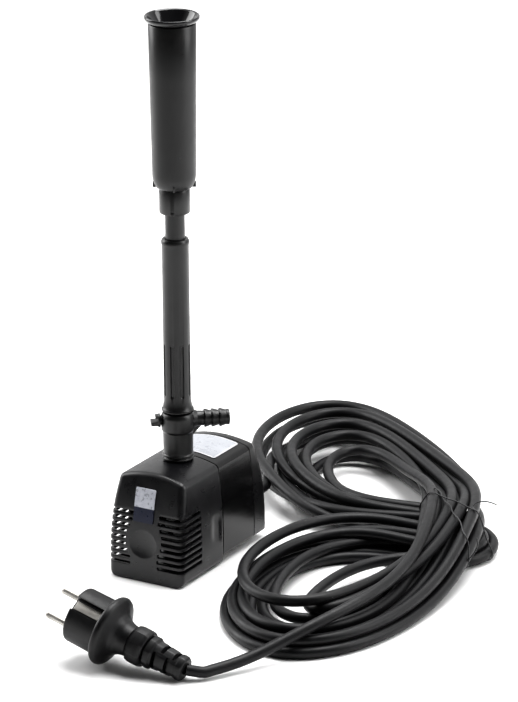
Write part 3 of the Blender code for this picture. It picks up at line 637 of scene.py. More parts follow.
def build_housing():
    """The housing between the cover and the rear cap, hollow, with the rotor's well."""
    low_y, high_y = SEAM_Y + GAP / 2, CAP_SEAM_Y - GAP / 2
    lip = 0.0005

    def tube(inset, start, end, edge):
        rings = []
        stations = ((start, edge), (start + edge, 0.0), ((start + end) / 2, 0.0), (end - edge, 0.0),
            (end, edge))
        for y, tuck in stations if edge else ((start, 0.0), (end, 0.0)):
            rings.append([(x - nx * tuck, y, z - nz * tuck) for x, z, nx,
                nz in arch(inset, SKIRT_Z, CAP_FOOT)])
        count = len(rings[0])
        points = [p for ring in rings for p in ring]
        faces = loft_faces(len(rings), count)
        return points, faces + end_faces(0, count) + end_faces((len(rings) - 1) * count, count)

    points, faces = tube(0.0, low_y, high_y, lip)
    housing = piece("housing_shell", points, faces, housing_black)
    points, faces = tube(WALL, low_y + WALL, high_y + 0.004, 0.0)
    carve(housing, [piece("hollow_cut", points, faces, housing_black)])
    line = Vector((0.0, 0.0, ROTOR_Z))
    wall = rod("well_wall", 0.0118, low_y + 0.001, 0.032, housing_black, line, ALONG_Y, 64)
    carve(housing, [wall], "UNION")
    bore = rod("well_bore", 0.0103, low_y - 0.002, 0.0305, housing_black, line, ALONG_Y, 60)
    carve(housing, [bore])
    stand_for(housing, "pump", "motor_housing", "black_plastic")


def build_rear_cap():
    radii = (0.0042, 0.0065, 0.0040)
    points, faces = body_shell(1, CAP_SEAM_Y + GAP / 2, SKIRT_Z, CAP_FOOT, radii, 8)
    cap = piece("rear_cap_shell", points, faces, cap_black)
    line = Vector((0.0, 0.0, GLAND_Z))
    hole = rod("gland_cut", 0.0049, 0.050, 0.062, cap_black, line, ALONG_Y, 48)
    carve(cap, [hole])
    stand_for(cap, "pump", "rear_cap", "black_plastic")


def rounded_plate(name, low, high, corner_radius, thickness, place, finish, cells=40):
    """A thin plate with round corners that follows a curved face. Place gives a point for (u, v, lift)."""
    points, faces = [], []
    middle = ((low[0] + high[0]) / 2, (low[1] + high[1]) / 2)
    half = ((high[0] - low[0]) / 2, (high[1] - low[1]) / 2)

    def rim(u, v):
        """Moves a point of the square [-1, 1] x [-1, 1] so that the square's corners become round."""
        x, y = u * half[0], v * half[1]
        cx, cy = half[0] - corner_radius, half[1] - corner_radius
        over_x, over_y = max(0.0, abs(x) - cx), max(0.0, abs(y) - cy)
        longest = max(over_x, over_y)
        length = math.hypot(over_x, over_y)
        if length > 1e-9:
            over_x, over_y = over_x * longest / length, over_y * longest / length
            x = math.copysign(min(abs(x), cx) + over_x, x)
            y = math.copysign(min(abs(y), cy) + over_y, y)
        return middle[0] + x, middle[1] + y

    width = cells + 1
    for level in (0.0, thickness):
        for row in range(width):
            for column in range(width):
                u, v = -1 + 2 * column / cells, -1 + 2 * row / cells
                soft = 1.0 - 0.012 * (level > 0)
                points.append(place(*rim(u * soft, v * soft), GAP + level))
    total = width * width
    for row in range(cells):
        for column in range(cells):
            a = row * width + column
            square = (a, a + 1, a + width + 1, a + width)
            faces.append(square)
            faces.append(tuple(total + i for i in square))
    border = list(range(width)) + [row * width + cells for row in range(1, width)]
    border += [cells * width + column for column in range(cells - 1, -1, -1)]
    border += [row * width for row in range(cells - 1, 0, -1)]
    for start, end in zip(border, border[1:] + border[:1]):
        faces.append((start, end, total + end, total + start))
    return piece(name, points, faces, finish, sharp=50)


def build_badge_and_label():
    def on_front(x, z, lift):
        return (x, FRONT_Y + lean_at(z) - lift, z)

    def on_crown(x, y, lift):
        return (x, y, CROWN_Z - x * x / (2 * CROWN_RADIUS) + lift)

    badge = rounded_plate("badge", (BADGE_LEFT, BADGE_LOW_Z), (BADGE_RIGHT, BADGE_HIGH_Z), 0.0009, 0.0004,
        on_front, badge_finish())
    stand_for(badge, "cover", "badge_plate", "badge_foil")
    label = rounded_plate("top_label", LABEL_LOW, LABEL_HIGH, 0.0020, 0.0002, on_crown,
        label_finish(LABEL_LOW, LABEL_HIGH))
    stand_for(label, "pump", "rating_label", "label_foil")


# ---------------------------------------------------------------- tee, valve, riser and nozzle
def build_tee():
    low = tee_low.z
    top = TEE_TOP
    profile = [(0.0, low), (0.0102, low), (0.01055, low + 0.0004), (0.01055, low + 0.0012),
        (0.0098, low + 0.0016), (0.0098, low + 0.0021)]
    profile += [(0.0106, low + 0.0024), (0.0106, low + 0.0034), (0.0100, low + 0.0040), (0.0100, 0.0800),
        (0.01015, 0.0933)]
    profile += [(0.0110, 0.0946), (0.0113, 0.1000), (0.0113, top - 0.0030), (0.0107, top - 0.0012),
        (0.0099, top), (0.0064, top)]
    profile += [(0.0064, 0.1240), (0.0, 0.1240)]
    tee = lathe("tee_shell", filleted(profile, 0.0005), riser_grey, steps=128)
    side = Vector((0.0, RISER_Y, BARB_Z))
    out = sideways(BARB_ANGLE)
    barb = [(0.0, 0.004), (0.0066, 0.004), (0.0066, 0.0100), (0.0053, 0.0128), (0.0050, 0.0172)]
    for number in range(3):
        foot = 0.0174 + number * 0.0051
        barb += [(0.0060, foot), (0.00625, foot + 0.0004), (0.0062, foot + 0.0010), (0.0050, foot + 0.0046)]
    barb += [(0.0052, 0.0322), (0.0053, 0.0338), (0.0050, 0.0345), (0.0, 0.0345)]
    carve(tee, [lathe("barb", filleted(barb, 0.0003, 2), riser_grey, side, out, 96)], "UNION")
    web = ((0.003, 0.0095), (0.003, 0.0172), (0.0108, 0.0100))
    points = [(x, y, z) for y in (-0.0013, 0.0013) for x, z in web]
    gusset = piece("gusset", points, [(0, 1, 2), (3, 4, 5), (0, 1, 4, 3), (1, 2, 5, 4), (2, 0, 3, 5)],
        riser_grey, side, out)
    carve(tee, [gusset], "UNION")
    bump = lathe("gate_bump", [(0.0, 0.0), (0.0012, 0.0), (0.0009, 0.0009), (0.0, 0.0011)], riser_grey,
        Vector((-0.0098, RISER_Y - 0.001, 0.0835)), sideways(math.radians(185)), 24)
    carve(tee, [bump], "UNION")
    seat = rod("spout_seat", 0.0071, 0.060, 0.0865, riser_grey, steps=60)
    bore = rod("tee_bore", 0.0028, 0.080, 0.140, riser_grey, steps=40)
    cross = [(0.0, -0.020), (0.0034, -0.020), (0.0034, 0.0078), (0.0024, 0.0078), (0.0024, 0.0125),
        (0.0037, 0.0140), (0.0037, 0.050), (0.0, 0.050)]
    carve(tee, [seat])
    carve(tee, [bore])
    carve(tee, [lathe("cross_bore", cross, riser_grey, side, out, 44)])
    edged(tee, 0.00015, 2, 50.0)
    stand_for(tee, "tee", "tee_body", "riser_plastic")


def build_valve():
    side = Vector((0.0, RISER_Y, BARB_Z))
    out = sideways(BARB_ANGLE)
    profile = [(0.0, -0.0136), (0.0040, -0.0136), (0.0047, -0.0130), (0.0047, -0.0118), (0.0032, -0.0117),
        (0.0032, 0.0074), (0.0, 0.0074)]
    knob = lathe("valve_knob", filleted(profile, 0.0003), riser_grey, side, out, 64)
    lower = box_piece("lever_low", (-0.0001, -0.0042, -0.0182), (0.0028, 0.0042, -0.0124), riser_grey, side,
        out, 0.0005)
    upper = box_piece("lever_high", (-0.0038, -0.0028, -0.0152), (-0.0019, 0.0028, -0.0124), riser_grey,
        side, out, 0.0004)
    carve(knob, [lower], "UNION")
    carve(knob, [upper], "UNION")
    port = rod("port", 0.0023, -0.02, 0.02, riser_grey, side, None, 40)
    outlet = rod("outlet", 0.0022, 0.0, 0.02, riser_grey, side, out, 36)
    carve(knob, [port])
    carve(knob, [outlet])
    edged(knob, 0.00012, 2, 50.0)
    stand_for(knob, "valve", "flow_valve", "riser_plastic")


FLUTES = 8
FLUTE_LOW, FLUTE_HIGH, FLUTE_HALF, FLUTE_DEPTH = 0.1183, 0.1548, 0.0014, 0.0011


def build_riser():
    bottom, top = riser_low.z, riser_high.z
    bore = 0.00695
    outside = 0.0090
    profile = [(0.0094, bottom), (0.0099, bottom + 0.0006), (0.0108, bottom + 0.0012),
        (0.01085, bottom + 0.0022), (0.0103, bottom + 0.0028), (0.0098, 0.1108)]
    profile += [(0.0095, 0.1132), (0.0091, 0.1146), (outside, 0.1180), (outside, 0.1330), (outside, 0.1550),
        (outside, 0.2235)]
    profile += [(0.0093, 0.2243), (0.0093, 0.2262), (0.0085, top), (bore, top), (bore, bottom)]
    dense = []
    for (r0, z0), (r1, z1) in zip(profile, profile[1:]):
        dense.append((r0, z0))
        if outside - 1e-6 <= r0 <= outside + 1e-6 and 0.1120 < z1 < 0.1555:
            pieces = max(1, round((z1 - z0) / 0.0006))
            dense += [(r0 + (r1 - r0) * i / pieces, z0 + (z1 - z0) * i / pieces) for i in range(1, pieces)]
    dense.append(profile[-1])

    def fluted(radius, height, angle):
        if radius < 0.0088 or not 0.1125 < height < 0.1555:
            return radius
        lane = (angle / (2 * math.pi) * FLUTES + 0.30) % 1.0 - 0.5
        width = lane * 2 * math.pi / FLUTES * radius
        if height < FLUTE_LOW + FLUTE_HALF:
            reach = math.hypot(width, height - FLUTE_LOW - FLUTE_HALF)
        elif height > FLUTE_HIGH - 0.0004:
            reach = math.hypot(width, (height - FLUTE_HIGH + 0.0004) * 3)
        else:
            reach = abs(width)
        return radius - FLUTE_DEPTH * smooth_step((FLUTE_HALF - reach) / 0.0006)

    lower = lathe("riser_sleeve", dense, riser_grey, steps=288, shape=fluted, sharp=50)
    stand_for(lower, "tee", "riser_lower_tube", "riser_plastic")
    inner = [(0.0062, inner_low.z), (0.00655, inner_low.z + 0.0004), (0.00655, inner_high.z),
        (0.0050, inner_high.z), (0.0050, inner_low.z)]
    upper = lathe("riser_slider", inner, riser_grey, steps=96)
    stand_for(upper, "telescope", "riser_upper_tube", "riser_plastic")


def build_nozzle():
    bore = 0.00685
    low, top = socket_low.z, socket_high.z
    socket = [(0.0098, low), (0.01015, low + 0.0005), (0.0102, top - 0.0004), (0.0100, top), (0.0042, top),
        (0.0042, 0.2566)]
    socket += [(bore, 0.2566), (bore, low)]
    cup = lathe("nozzle_cup", socket, riser_grey, steps=96)
    key = box_piece("cup_key", (-0.0012, -0.0111, low), (0.0012, -0.0095, low + 0.0020), riser_grey,
        RISER_LINE, Matrix.Rotation(math.radians(22), 3, "Z"), 0.0003)
    carve(cup, [key], "UNION")
    low, top = body_low.z, body_high.z
    wall = [(0.0104, low)]
    for step in range(1, 13):
        turn = math.radians(90 * step / 12)
        wall.append((0.0104 + 0.0040 * math.sin(turn), low + 0.0100 * (1 - math.cos(turn))))
    wall += [(0.01475, low + 0.0400), (0.0152, low + 0.0750), (0.01562, top - 0.0006), (0.0153, top),
        (0.0145, top), (0.0133, low + 0.0110)]
    wall += [(0.0125, low + 0.0060), (0.0106, low + 0.0025), (0.0042, low + 0.0018), (0.0042, low)]
    barrel = lathe("nozzle_barrel", wall, riser_grey, steps=128)
    for number, angle in enumerate((-59.5, 30.5, 120.5, 210.5)):
        turn = Matrix.Rotation(math.radians(angle), 3, "Z")
        rib = box_piece(f"rib_{number}", (0.0100, -0.0006, low + 0.0002), (0.0142, 0.0006, low + 0.0042),
            riser_grey, RISER_LINE, turn, 0.0002)
        carve(barrel, [rib], "UNION")
    flare_low, flare_top = bell_low.z, bell_high.z
    flare = [(0.0141, flare_low), (0.0142, 0.3735), (0.0147, 0.3737), (0.0150, 0.3741), (0.0160, 0.3744),
        (0.0171, 0.3754), (0.0177, 0.3762)]
    flare += [(0.01805, 0.3769), (0.0180, 0.3779), (0.0177, flare_top - 0.0001), (0.0172, flare_top),
        (0.0163, 0.3779), (0.0150, 0.3756)]
    flare += [(0.0126, 0.3719), (0.0100, 0.3682), (0.0079, 0.3650), (0.0062, flare_low)]
    lip = lathe("nozzle_flare", filleted(flare, 0.0004, 3, True), gloss_black, steps=128)
    for made, node, slot in ((cup, "nozzle_socket", "riser_plastic"),
            (barrel, "nozzle_body", "riser_plastic"), (lip, "nozzle_bell", "gloss_plastic")):
        stand_for(made, "nozzle", node, slot)


# ---------------------------------------------------------------- plug
PLUG_CENTRE = Vector((0.0532, -0.1835, 0.0227))
PLUG_TILT = math.radians(15.5)
PLUG_ROLL = math.radians(40.0)
PLUG_FACE = -0.0250
PIN_OFFSET = 0.0095
PIN_LENGTH = 0.019


def plug_frame():
    forward = Vector((math.cos(PLUG_TILT), 0.0, -math.sin(PLUG_TILT)))
    side = Vector((0.0, 1.0, 0.0))
    upward = forward.cross(side)
    turn = Matrix((side, upward, forward)).transposed()
    if turn.determinant() < 0:
        turn = Matrix((-side, upward, forward)).transposed()
    return turn @ Matrix.Rotation(PLUG_ROLL, 3, "Z")


def build_plug():
    turn = plug_frame()
    front = 0.0185
    head = [(0.0, PLUG_FACE), (front - 0.0012, PLUG_FACE), (front - 0.0003, PLUG_FACE + 0.0004),
        (front, PLUG_FACE + 0.0014), (front + 0.0002, -0.0034)]
    head += [(0.0205, -0.0031), (0.0222, -0.0024), (0.0231, -0.0012), (0.0233, 0.0002), (0.0230, 0.0014),
        (0.0221, 0.0024)]
    head += [(0.0203, 0.0035), (0.0176, 0.0047), (0.0150, 0.0062), (0.0128, 0.0083), (0.0114, 0.0108),
        (0.0106, 0.0135), (0.0103, 0.0167), (0.0, 0.0167)]
    body = lathe("plug_moulding", filleted(head, 0.0005), plug_black, PLUG_CENTRE, turn, 128)
    for sign in (-1, 1):
        near, far = span(sign, 0.0138, 0.030)
        low, high = (-0.0045, near, PLUG_FACE - 0.005), (0.0045, far, -0.0035)
        carve(body, [box_piece("groove_cut", low, high, plug_black, PLUG_CENTRE, turn)])
        spot = PLUG_CENTRE + turn @ Vector((sign * PIN_OFFSET, 0.0, 0.0))
        hole = rod("pin_cut", 0.0027, PLUG_FACE - 0.005, PLUG_FACE + 0.0105, plug_black, spot, turn, 40)
        carve(body, [hole])
    edged(body, 0.0003, 2, 50.0)
    parts = [(body, "plug_body", "cord_rubber")]
    for number, sign in enumerate((-1, 1)):
        spot = PLUG_CENTRE + turn @ Vector((sign * PIN_OFFSET, 0.0, 0.0))
        tip = PLUG_FACE - PIN_LENGTH
        pin = [(0.0, tip), (0.0011, tip + 0.0001), (0.0019, tip + 0.0007), (0.0024, tip + 0.0020),
            (0.0024, PLUG_FACE + 0.0100), (0.0, PLUG_FACE + 0.0100)]
        parts.append((lathe(f"plug_pin_{'ab'[number]}", filleted(pin, 0.0004), nickel, spot, turn, 48),
            f"plug_pin_{number + 1}", "nickel_plate"))
        near, far = span(sign, 0.0142, 0.0150)
        low, high = (-0.0030, near, PLUG_FACE + 0.0012), (0.0030, far, -0.0040)
        clip = box_piece(f"plug_clip_{'ab'[number]}", low, high, nickel, PLUG_CENTRE, turn, 0.0002)
        parts.append((clip, f"earth_clip_{number + 1}", "nickel_plate"))
    grip = [(0.0, 0.0170), (0.0112, 0.0170), (0.0122, 0.0180), (0.0128, 0.0200), (0.0128, 0.0262),
        (0.0120, 0.0280), (0.0110, 0.0287), (0.0, 0.0287)]

    def facetted(radius, height, angle):
        lane = (angle / (2 * math.pi) * 10) % 1.0 - 0.5
        flat = math.cos(math.pi / 10) / math.cos(lane * 2 * math.pi / 10)
        return radius * (1.0 if radius < 0.0105 else 0.35 + 0.65 * flat)

    collar = lathe("plug_grip", filleted(grip, 0.0006), plug_black, PLUG_CENTRE, turn, 160, 14.0, facetted)
    parts.append((collar, "plug_collar", "cord_rubber"))
    sleeve = [(0.0, 0.0290), (0.0096, 0.0290), (0.0108, 0.0302), (0.0108, 0.0338), (0.0100, 0.0346),
        (0.0094, 0.0352), (0.0082, 0.0520), (0.0085, 0.0530)]
    sleeve += [(0.0084, 0.0560), (0.0074, 0.0570), (0.0038, 0.0570), (0.0, 0.0570)]

    def squared(radius, height, angle):
        lane = (angle / (2 * math.pi) * 8 + 0.5) % 1.0 - 0.5
        flat = math.cos(math.pi / 8) / math.cos(lane * 2 * math.pi / 8)
        return radius if radius < 0.006 else radius * (0.5 + 0.5 * flat)

    relief = lathe("plug_relief", filleted(sleeve, 0.0005), plug_black, PLUG_CENTRE, turn, 160, 16.0, squared)
    for level, height in enumerate((0.0372, 0.0412, 0.0466, 0.0502)):
        for sign in (-1, 1):
            spin = turn @ Matrix.Rotation(math.radians(50 - 90 * (level % 2)), 3, "Z")
            near, far = span(sign, 0.0040, 0.014)
            low, high = (-0.0058, near, height - 0.0014), (0.0058, far, height + 0.0014)
            carve(relief, [box_piece("slot_cut", low, high, plug_black, PLUG_CENTRE, spin, 0.0004)])
    edged(relief, 0.0002, 2, 45.0)
    parts.append((relief, "plug_strain_relief", "cord_rubber"))
    for made, node, slot in parts:
        stand_for(made, "pump", node, slot)
    return [made for made, _, _ in parts]


def build_gland():
    line = Vector((0.0, 0.0, GLAND_Z))
    profile = [(0.0, 0.0515), (0.0056, 0.0515), (0.0056, 0.0535), (0.0046, 0.0538), (0.0046, 0.0573),
        (0.0072, 0.0576), (0.0073, 0.0600)]
    radius = 0.0064
    for number in range(6):
        start = 0.0615 + number * 0.0045
        profile += [(radius, start), (radius, start + 0.0028), (radius - 0.0010, start + 0.0031),
            (radius - 0.0010, start + 0.0042)]
        radius -= 0.00022
    profile += [(0.0050, 0.0890), (0.0046, 0.0900), (0.0, 0.0900)]
    gland = lathe("cord_relief", filleted(profile, 0.0003, 2), gasket, line, ALONG_Y, 72)
    stand_for(gland, "pump", "cable_gland", "seal_rubber")
    return gland


# ---------------------------------------------------------------- mains lead
CORD_DIAMETER = 0.0075
WIRE_RADIUS = 0.00045
TURNS = 10
LANE_BLEND = 4
HOME_SMOOTH = 30
ROUNDS = 400
SPACING, FINE_SPACING = 0.006, 0.003
CLEARANCE = 1.015
HOME_PULL = 0.016
STIFFNESS = ((1, 0.45), (2, 0.30), (4, 0.15))
BODY_HALF_LENGTH = 0.057
# One turn of the hank, in millimetres: outer strand (x, y), inner strand (x, y), lift of the bundle.
# A turn runs along the far lobe, over the tie, round the near lobe, and back to a U-turn under the tie.
STATIONS = (
    (-52, 210, 8, 180, 0), (-47, 240, 11, 194, 1), (-23, 258, 22, 202, 2), (11, 246, 39, 196, 3), (50, 221,
        58, 183, 3),
    (88, 193, 77, 166, 3), (115, 169, 95, 148, 5), (138, 148, 111, 131, 8), (155, 123, 124, 112, 12),
    (168, 94, 136, 90, 15), (177, 66, 146, 63, 14), (185, 34, 153, 36, 8), (189, 0, 157, 6, 2), (190, -35,
        156, -24, 0),
    (186, -72, 153, -50, 0), (174, -105, 147, -70, 0), (152, -127, 138, -82, 0), (127, -129, 123, -84, 0),
    (103, -115, 110, -76, 0), (80, -90, 99, -56, 0), (64, -55, 91, -32, 0), (59, -12, 86, -7, 0), (62, 27,
        88, 17, 0),
    (77, 58, 99, 34, 0), (101, 74, 116, 44, 0), (128, 77, 141, 46, 0), (147, 73, 164, 47, 0), (164, 82, 184,
        62, 0),
    (166, 101, 188, 92, 0), (149, 115, 167, 114, 0), (120, 110, 140, 116, 0), (87, 92, 110, 104, 0),
    (58, 88, 84, 105, 0), (30, 97, 59, 115, 0), (2, 114, 37, 131, 0), (-24, 138, 20, 150, 0), (-44, 172, 10,
        166, 0))
# Where each turn lies in the bundle: share of the way from the outer strand to the inner one, and height.
FAR_SIDE = ((0.44, 17.5), (0.16, 19), (0.0, 12), (0.66, 15), (1.0, 9), (-0.05, 19), (0.28, 11.5),
    (0.54, 8.5), (0.80, 4), (0.22, 4))
TIE = ((0.0, 3.6), (0.20, 6), (0.86, 4), (0.40, 8.5), (0.63, 8), (0.05, 12), (0.28, 15), (1.0, 9),
    (0.52, 16), (0.76, 14))
NEAR_SIDE = ((0.05, 3.6), (0.24, 4), (0.90, 11), (0.45, 5), (0.68, 7), (0.10, 10.5), (0.80, 17.5),
    (0.34, 11.8), (1.0, 19), (0.56, 14))
INSIDE = ((0.0, 4), (0.22, 4), (0.04, 10.5), (0.70, 4), (0.95, 4), (0.12, 16.5), (0.38, 10), (0.50, 10.5),
    (0.0, 17), (0.30, 17))
FAR_ORDER = (9, 5, 8, 6, 7, 1, 2, 3, 0, 4)
# One turn lies loose across the near lobe's hollow, and the last full turn lies on top of the others.
LOOSE_TURN = 6
LOOSE_PATH = {16: (144, -89), 17: (131, -82), 18: (122, -60), 19: (117, -34), 20: (115, -8), 21: (118, 16),
              22: (128, 36), 23: (143, 46), 24: (158, 53), 25: (173, 65), 26: (180, 84), 27: (171,
                  106), 28: (148, 114)}
LOOSE_HEIGHTS = {16: 15.5, 17: 12.5, 18: 10, 19: 8.5}
TOP_TURN = 8
TOP_PATH = {15: (0.80, 20), 16: (0.82, 21), 17: (0.80, 21), 18: (0.60, 21), 19: (0.36, 21), 20: (0.16, 21),
    21: (0.04, 21),
            22: (-0.02, 21), 23: (-0.06, 22), 24: (-0.10, 21), 25: (-0.10, 19), 26: (0.0, 17), 27: (0.3, 16)}
EXIT_PATH = ((0, 90.3, 15.5), (0, 96.5, 15.5), (-0.4, 104, 16), (-3, 117, 18.5), (-10, 131, 19),
    (-21, 145, 18))
PLUG_PATH = ((145, 80, 31), (157, 53, 31), (166, 23, 27), (175, -19, 25.5), (175, -58, 25), (171, -79, 23.5),
    (164, -97, 21.5),
             (156, -112, 18), (147, -124.5, 13), (139, -136, 8), (134, -147, 4.6), (129.5, -157.5,
                 3.7), (124.2, -167.5, 3.7),
             (117, -176.2, 4.9), (108.1, -183.1, 7.4))


def spline(knots, spacing):
    """Catmull-Rom points through the knots, about a quarter of the spacing apart."""
    k = np.asarray(knots, float)
    k = np.vstack([2 * k[0] - k[1], k, 2 * k[-1] - k[-2]])
    out = []
    for i in range(1, len(k) - 2):
        count = max(2, int(np.linalg.norm(k[i + 1] - k[i]) / spacing * 4))
        t = np.arange(count)[:, None] / count
        bend = (2 * k[i] + (k[i + 1] - k[i - 1]) * t
                + (2 * k[i - 1] - 5 * k[i] + 4 * k[i + 1] - k[i + 2]) * t**2)
        out.append(0.5 * (bend + (3 * k[i] - k[i - 1] - 3 * k[i + 1] + k[i + 2]) * t**3))
    out.append(k[-2:-1])
    return np.vstack(out)


def resample(points, spacing):
    along = np.concatenate([[0], np.cumsum(np.linalg.norm(np.diff(points, axis=0), axis=1))])
    wanted = np.linspace(0, along[-1], max(2, int(round(along[-1] / spacing)) + 1))
    return np.stack([np.interp(wanted, along, points[:, axis]) for axis in range(points.shape[1])], axis=1)


def place_in_bundle(turn, station):
    if turn == TOP_TURN and station in TOP_PATH:
        return TOP_PATH[station]
    if station <= 6:
        return FAR_SIDE[FAR_ORDER[turn]]
    if station >= 33:
        return FAR_SIDE[FAR_ORDER[min(turn + 1, TURNS - 1)]]
    if station <= 11:
        return TIE[turn]
    return NEAR_SIDE[turn] if station <= 23 else INSIDE[turn]


def first_route():
    """The cord's route before it settles: exit, turns, and the run to the plug, in metres."""
    rng = np.random.default_rng(7)
    steps = [(turn, station) for turn in range(TURNS) for station in range(len(STATIONS))]
    lanes = np.array([place_in_bundle(*step) for step in steps], float)
    drift = 0.0
    for index in range(len(lanes)):
        drift = 0.6 * drift + rng.normal(0, 0.020)
        lanes[index, 0] += drift
    for _ in range(LANE_BLEND):
        lanes[1:-1] = 0.25 * lanes[:-2] + 0.5 * lanes[1:-1] + 0.25 * lanes[2:]
    route = list(EXIT_PATH)
    for (turn, station), (share, height) in zip(steps, lanes):
        if turn == TURNS - 1 and station >= 9:
            break
        x0, y0, x1, y1, lift = STATIONS[station]
        spot = (x0 + (x1 - x0) * share, y0 + (y1 - y0) * share, height + lift)
        if turn == LOOSE_TURN and station in LOOSE_PATH:
            spot = (*LOOSE_PATH[station], LOOSE_HEIGHTS.get(station, 8.0))
        route.append(spot)
    return np.array(route + list(PLUG_PATH)) / 1000


def settle(route):
    """Pushes strands apart towards lying beside and on each other. Some still overlap at the end."""
    x = resample(spline(route, SPACING), SPACING)
    for _ in range(HOME_SMOOTH):
        x[3:-3] += 0.5 * ((x[4:-2] + x[2:-4]) / 2 - x[3:-3])
    x = resample(x, SPACING)
    count = len(x)
    home = x.copy()
    rest = np.linalg.norm(np.diff(x, axis=0), axis=1).mean()
    radius = CORD_DIAMETER / 2
    apart = CORD_DIAMETER * CLEARANCE
    ends = np.r_[0:3, count - 3:count]
    for step in range(ROUNDS):
        if step % 6 == 0:
            near = ((x[:, None, :] - x[None, :, :]) ** 2).sum(-1)
            first, second = np.nonzero(np.triu(near < (CORD_DIAMETER * 1.8) ** 2, 5))
        gap = x[second] - x[first]
        distance = np.linalg.norm(gap, axis=1)
        hit = distance < apart
        a, b, gap, distance = first[hit], second[hit], gap[hit], distance[hit]
        push = gap / np.maximum(distance, 1e-6)[:, None] * ((apart - distance) * 0.5)[:, None]
        move, hits = np.zeros_like(x), np.zeros(count)
        np.add.at(move, a, -push)
        np.add.at(move, b, push)
        np.add.at(hits, a, 1)
        np.add.at(hits, b, 1)
        move /= np.maximum(1, hits * 0.5)[:, None]
        for _ in range(5):
            move[1:-1] = 0.5 * move[1:-1] + 0.25 * (move[2:] + move[:-2])
        x += move * 1.5
        for parity in (0, 1):
            i = np.arange(parity, count - 1, 2)
            link = x[i + 1] - x[i]
            length = np.linalg.norm(link, axis=1)
            pull = link * ((length - rest) / np.maximum(length, 1e-9) * 0.4)[:, None]
            x[i] += pull
            x[i + 1] -= pull
        for reach, stiff in STIFFNESS:
            bend = (x[2 * reach:] + x[:-2 * reach]) / 2 - x[reach:-reach]
            natural = (home[2 * reach:] + home[:-2 * reach]) / 2 - home[reach:-reach]
            x[reach:-reach] += (bend - natural) * stiff
        x += (home - x) * (HOME_PULL * (1 - 0.85 * step / ROUNDS))
        x[:, 2] = np.maximum(x[:, 2], radius)
        beside = (np.abs(x[:, 0]) < HALF_WIDTH + radius) & (np.abs(x[:, 1]) < BODY_HALF_LENGTH + radius)
        x[beside, 0] = np.where(x[beside, 0] > 0, 1, -1) * (HALF_WIDTH + radius)
        x[ends] = home[ends]
    return x


def settled_route():
    return resample(spline(settle(first_route()), FINE_SPACING), FINE_SPACING)


# ---------------------------------------------------------------- wire ties round the hank
def hull(points):
    """The convex outline of flat points, in order."""
    points = sorted(set(points))
    chains = []
    for run in (points, points[::-1]):
        chain = []
        for p in run:
            while len(chain) > 1 and (
                (chain[-1][0] - chain[-2][0]) * (p[1] - chain[-2][1])
                - (chain[-1][1] - chain[-2][1]) * (p[0] - chain[-2][0])
            ) <= 0:
                chain.pop()
            chain.append(p)
        chains += chain[:-1]
    return chains


def round_curve(name, points, radius, resolution, finish, cyclic=False):
    """A round bar along the points."""
    curve = bpy.data.curves.new(name, "CURVE")
    curve.dimensions = "3D"
    curve.bevel_depth = radius
    curve.bevel_resolution = resolution
    curve.use_fill_caps = True
    line = curve.splines.new("POLY")
    line.points.add(len(points) - 1)
    for target, point in zip(line.points, points):
        target.co = (*(float(part) for part in point), 1.0)
    line.use_cyclic_u = cyclic
    curve.materials.append(finish)
    made = bpy.data.objects.new(name, curve)
    SCENE.collection.objects.link(made)
    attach(made, "pump")
    return made


def wire(name, points, cyclic=False):
    made = round_curve(name, points, WIRE_RADIUS, 3, wire_black, cyclic)
    return made


def tie_loop(name, route, start, end):
    """A wire drawn tight round the strands that cross the plane from start to end, in millimetres."""
    start, end = np.array(start) * MM, np.array(end) * MM
    length = np.linalg.norm(end - start)
    along = (end - start) / length
    across = np.array([-along[1], along[0]])
    relative = route[:, :2] - start
    place = relative @ along
    inside = (np.abs(relative @ across) < 0.004) & (place > -0.006) & (place < length + 0.006)
    reach = CORD_DIAMETER / 2 + WIRE_RADIUS + 0.0002
    spots = []
    for u, z in zip(place[inside], route[inside, 2]):
        for step in range(14):
            angle = 2 * math.pi * step / 14
            spots.append((u + reach * math.cos(angle),
                max(z + reach * math.sin(angle), WIRE_RADIUS + 0.0001)))
    outline = np.array(hull(spots))
    closed = np.vstack([outline, outline[:1]])
    points = resample(closed, 0.002)[:-1]
    loop = []
    for index, (u, z) in enumerate(points):
        sway = 0.0007 * math.sin(index * 0.55)
        spot = start + along * u + across * sway
        loop.append((spot[0], spot[1], z))
    return wire(name, loop, True), loop


def build_ties(route):
    first, loop_a = tie_loop("tie_wire_a", route, (124, 92), (178, 87))
    second, loop_b = tie_loop("tie_wire_b", route, (136, 100), (190, 46))
    made = [first, second]
    top = max(loop_a, key=lambda p: p[2] + 0.6 * p[0])
    ends = {
        "tie_end_a": (top, ((-4, 2, 1.5), (-3, 4, 4), (1, 6, 5.5), (6, 7, 5.5), (11, 7.5, 4.5))),
        "tie_end_b": (max(loop_b, key=lambda p: p[0]),
            ((1.0, 0, 2), (3.5, 1.5, 6), (5, 3, 11), (4.4, 3, 16))),
    }
    for name, (foot, moves) in ends.items():
        knots = [foot] + [tuple(foot[axis] + move[axis] * MM for axis in range(3)) for move in moves]
        made.append(wire(name, resample(spline(knots, 0.001), 0.001)))
    return made


def build_cord(route):
    cord = round_curve("mains_cord", route, CORD_DIAMETER / 2, 6, cord_rubber)
    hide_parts("cord_hank", "cord_exit_run", "cord_plug_run")


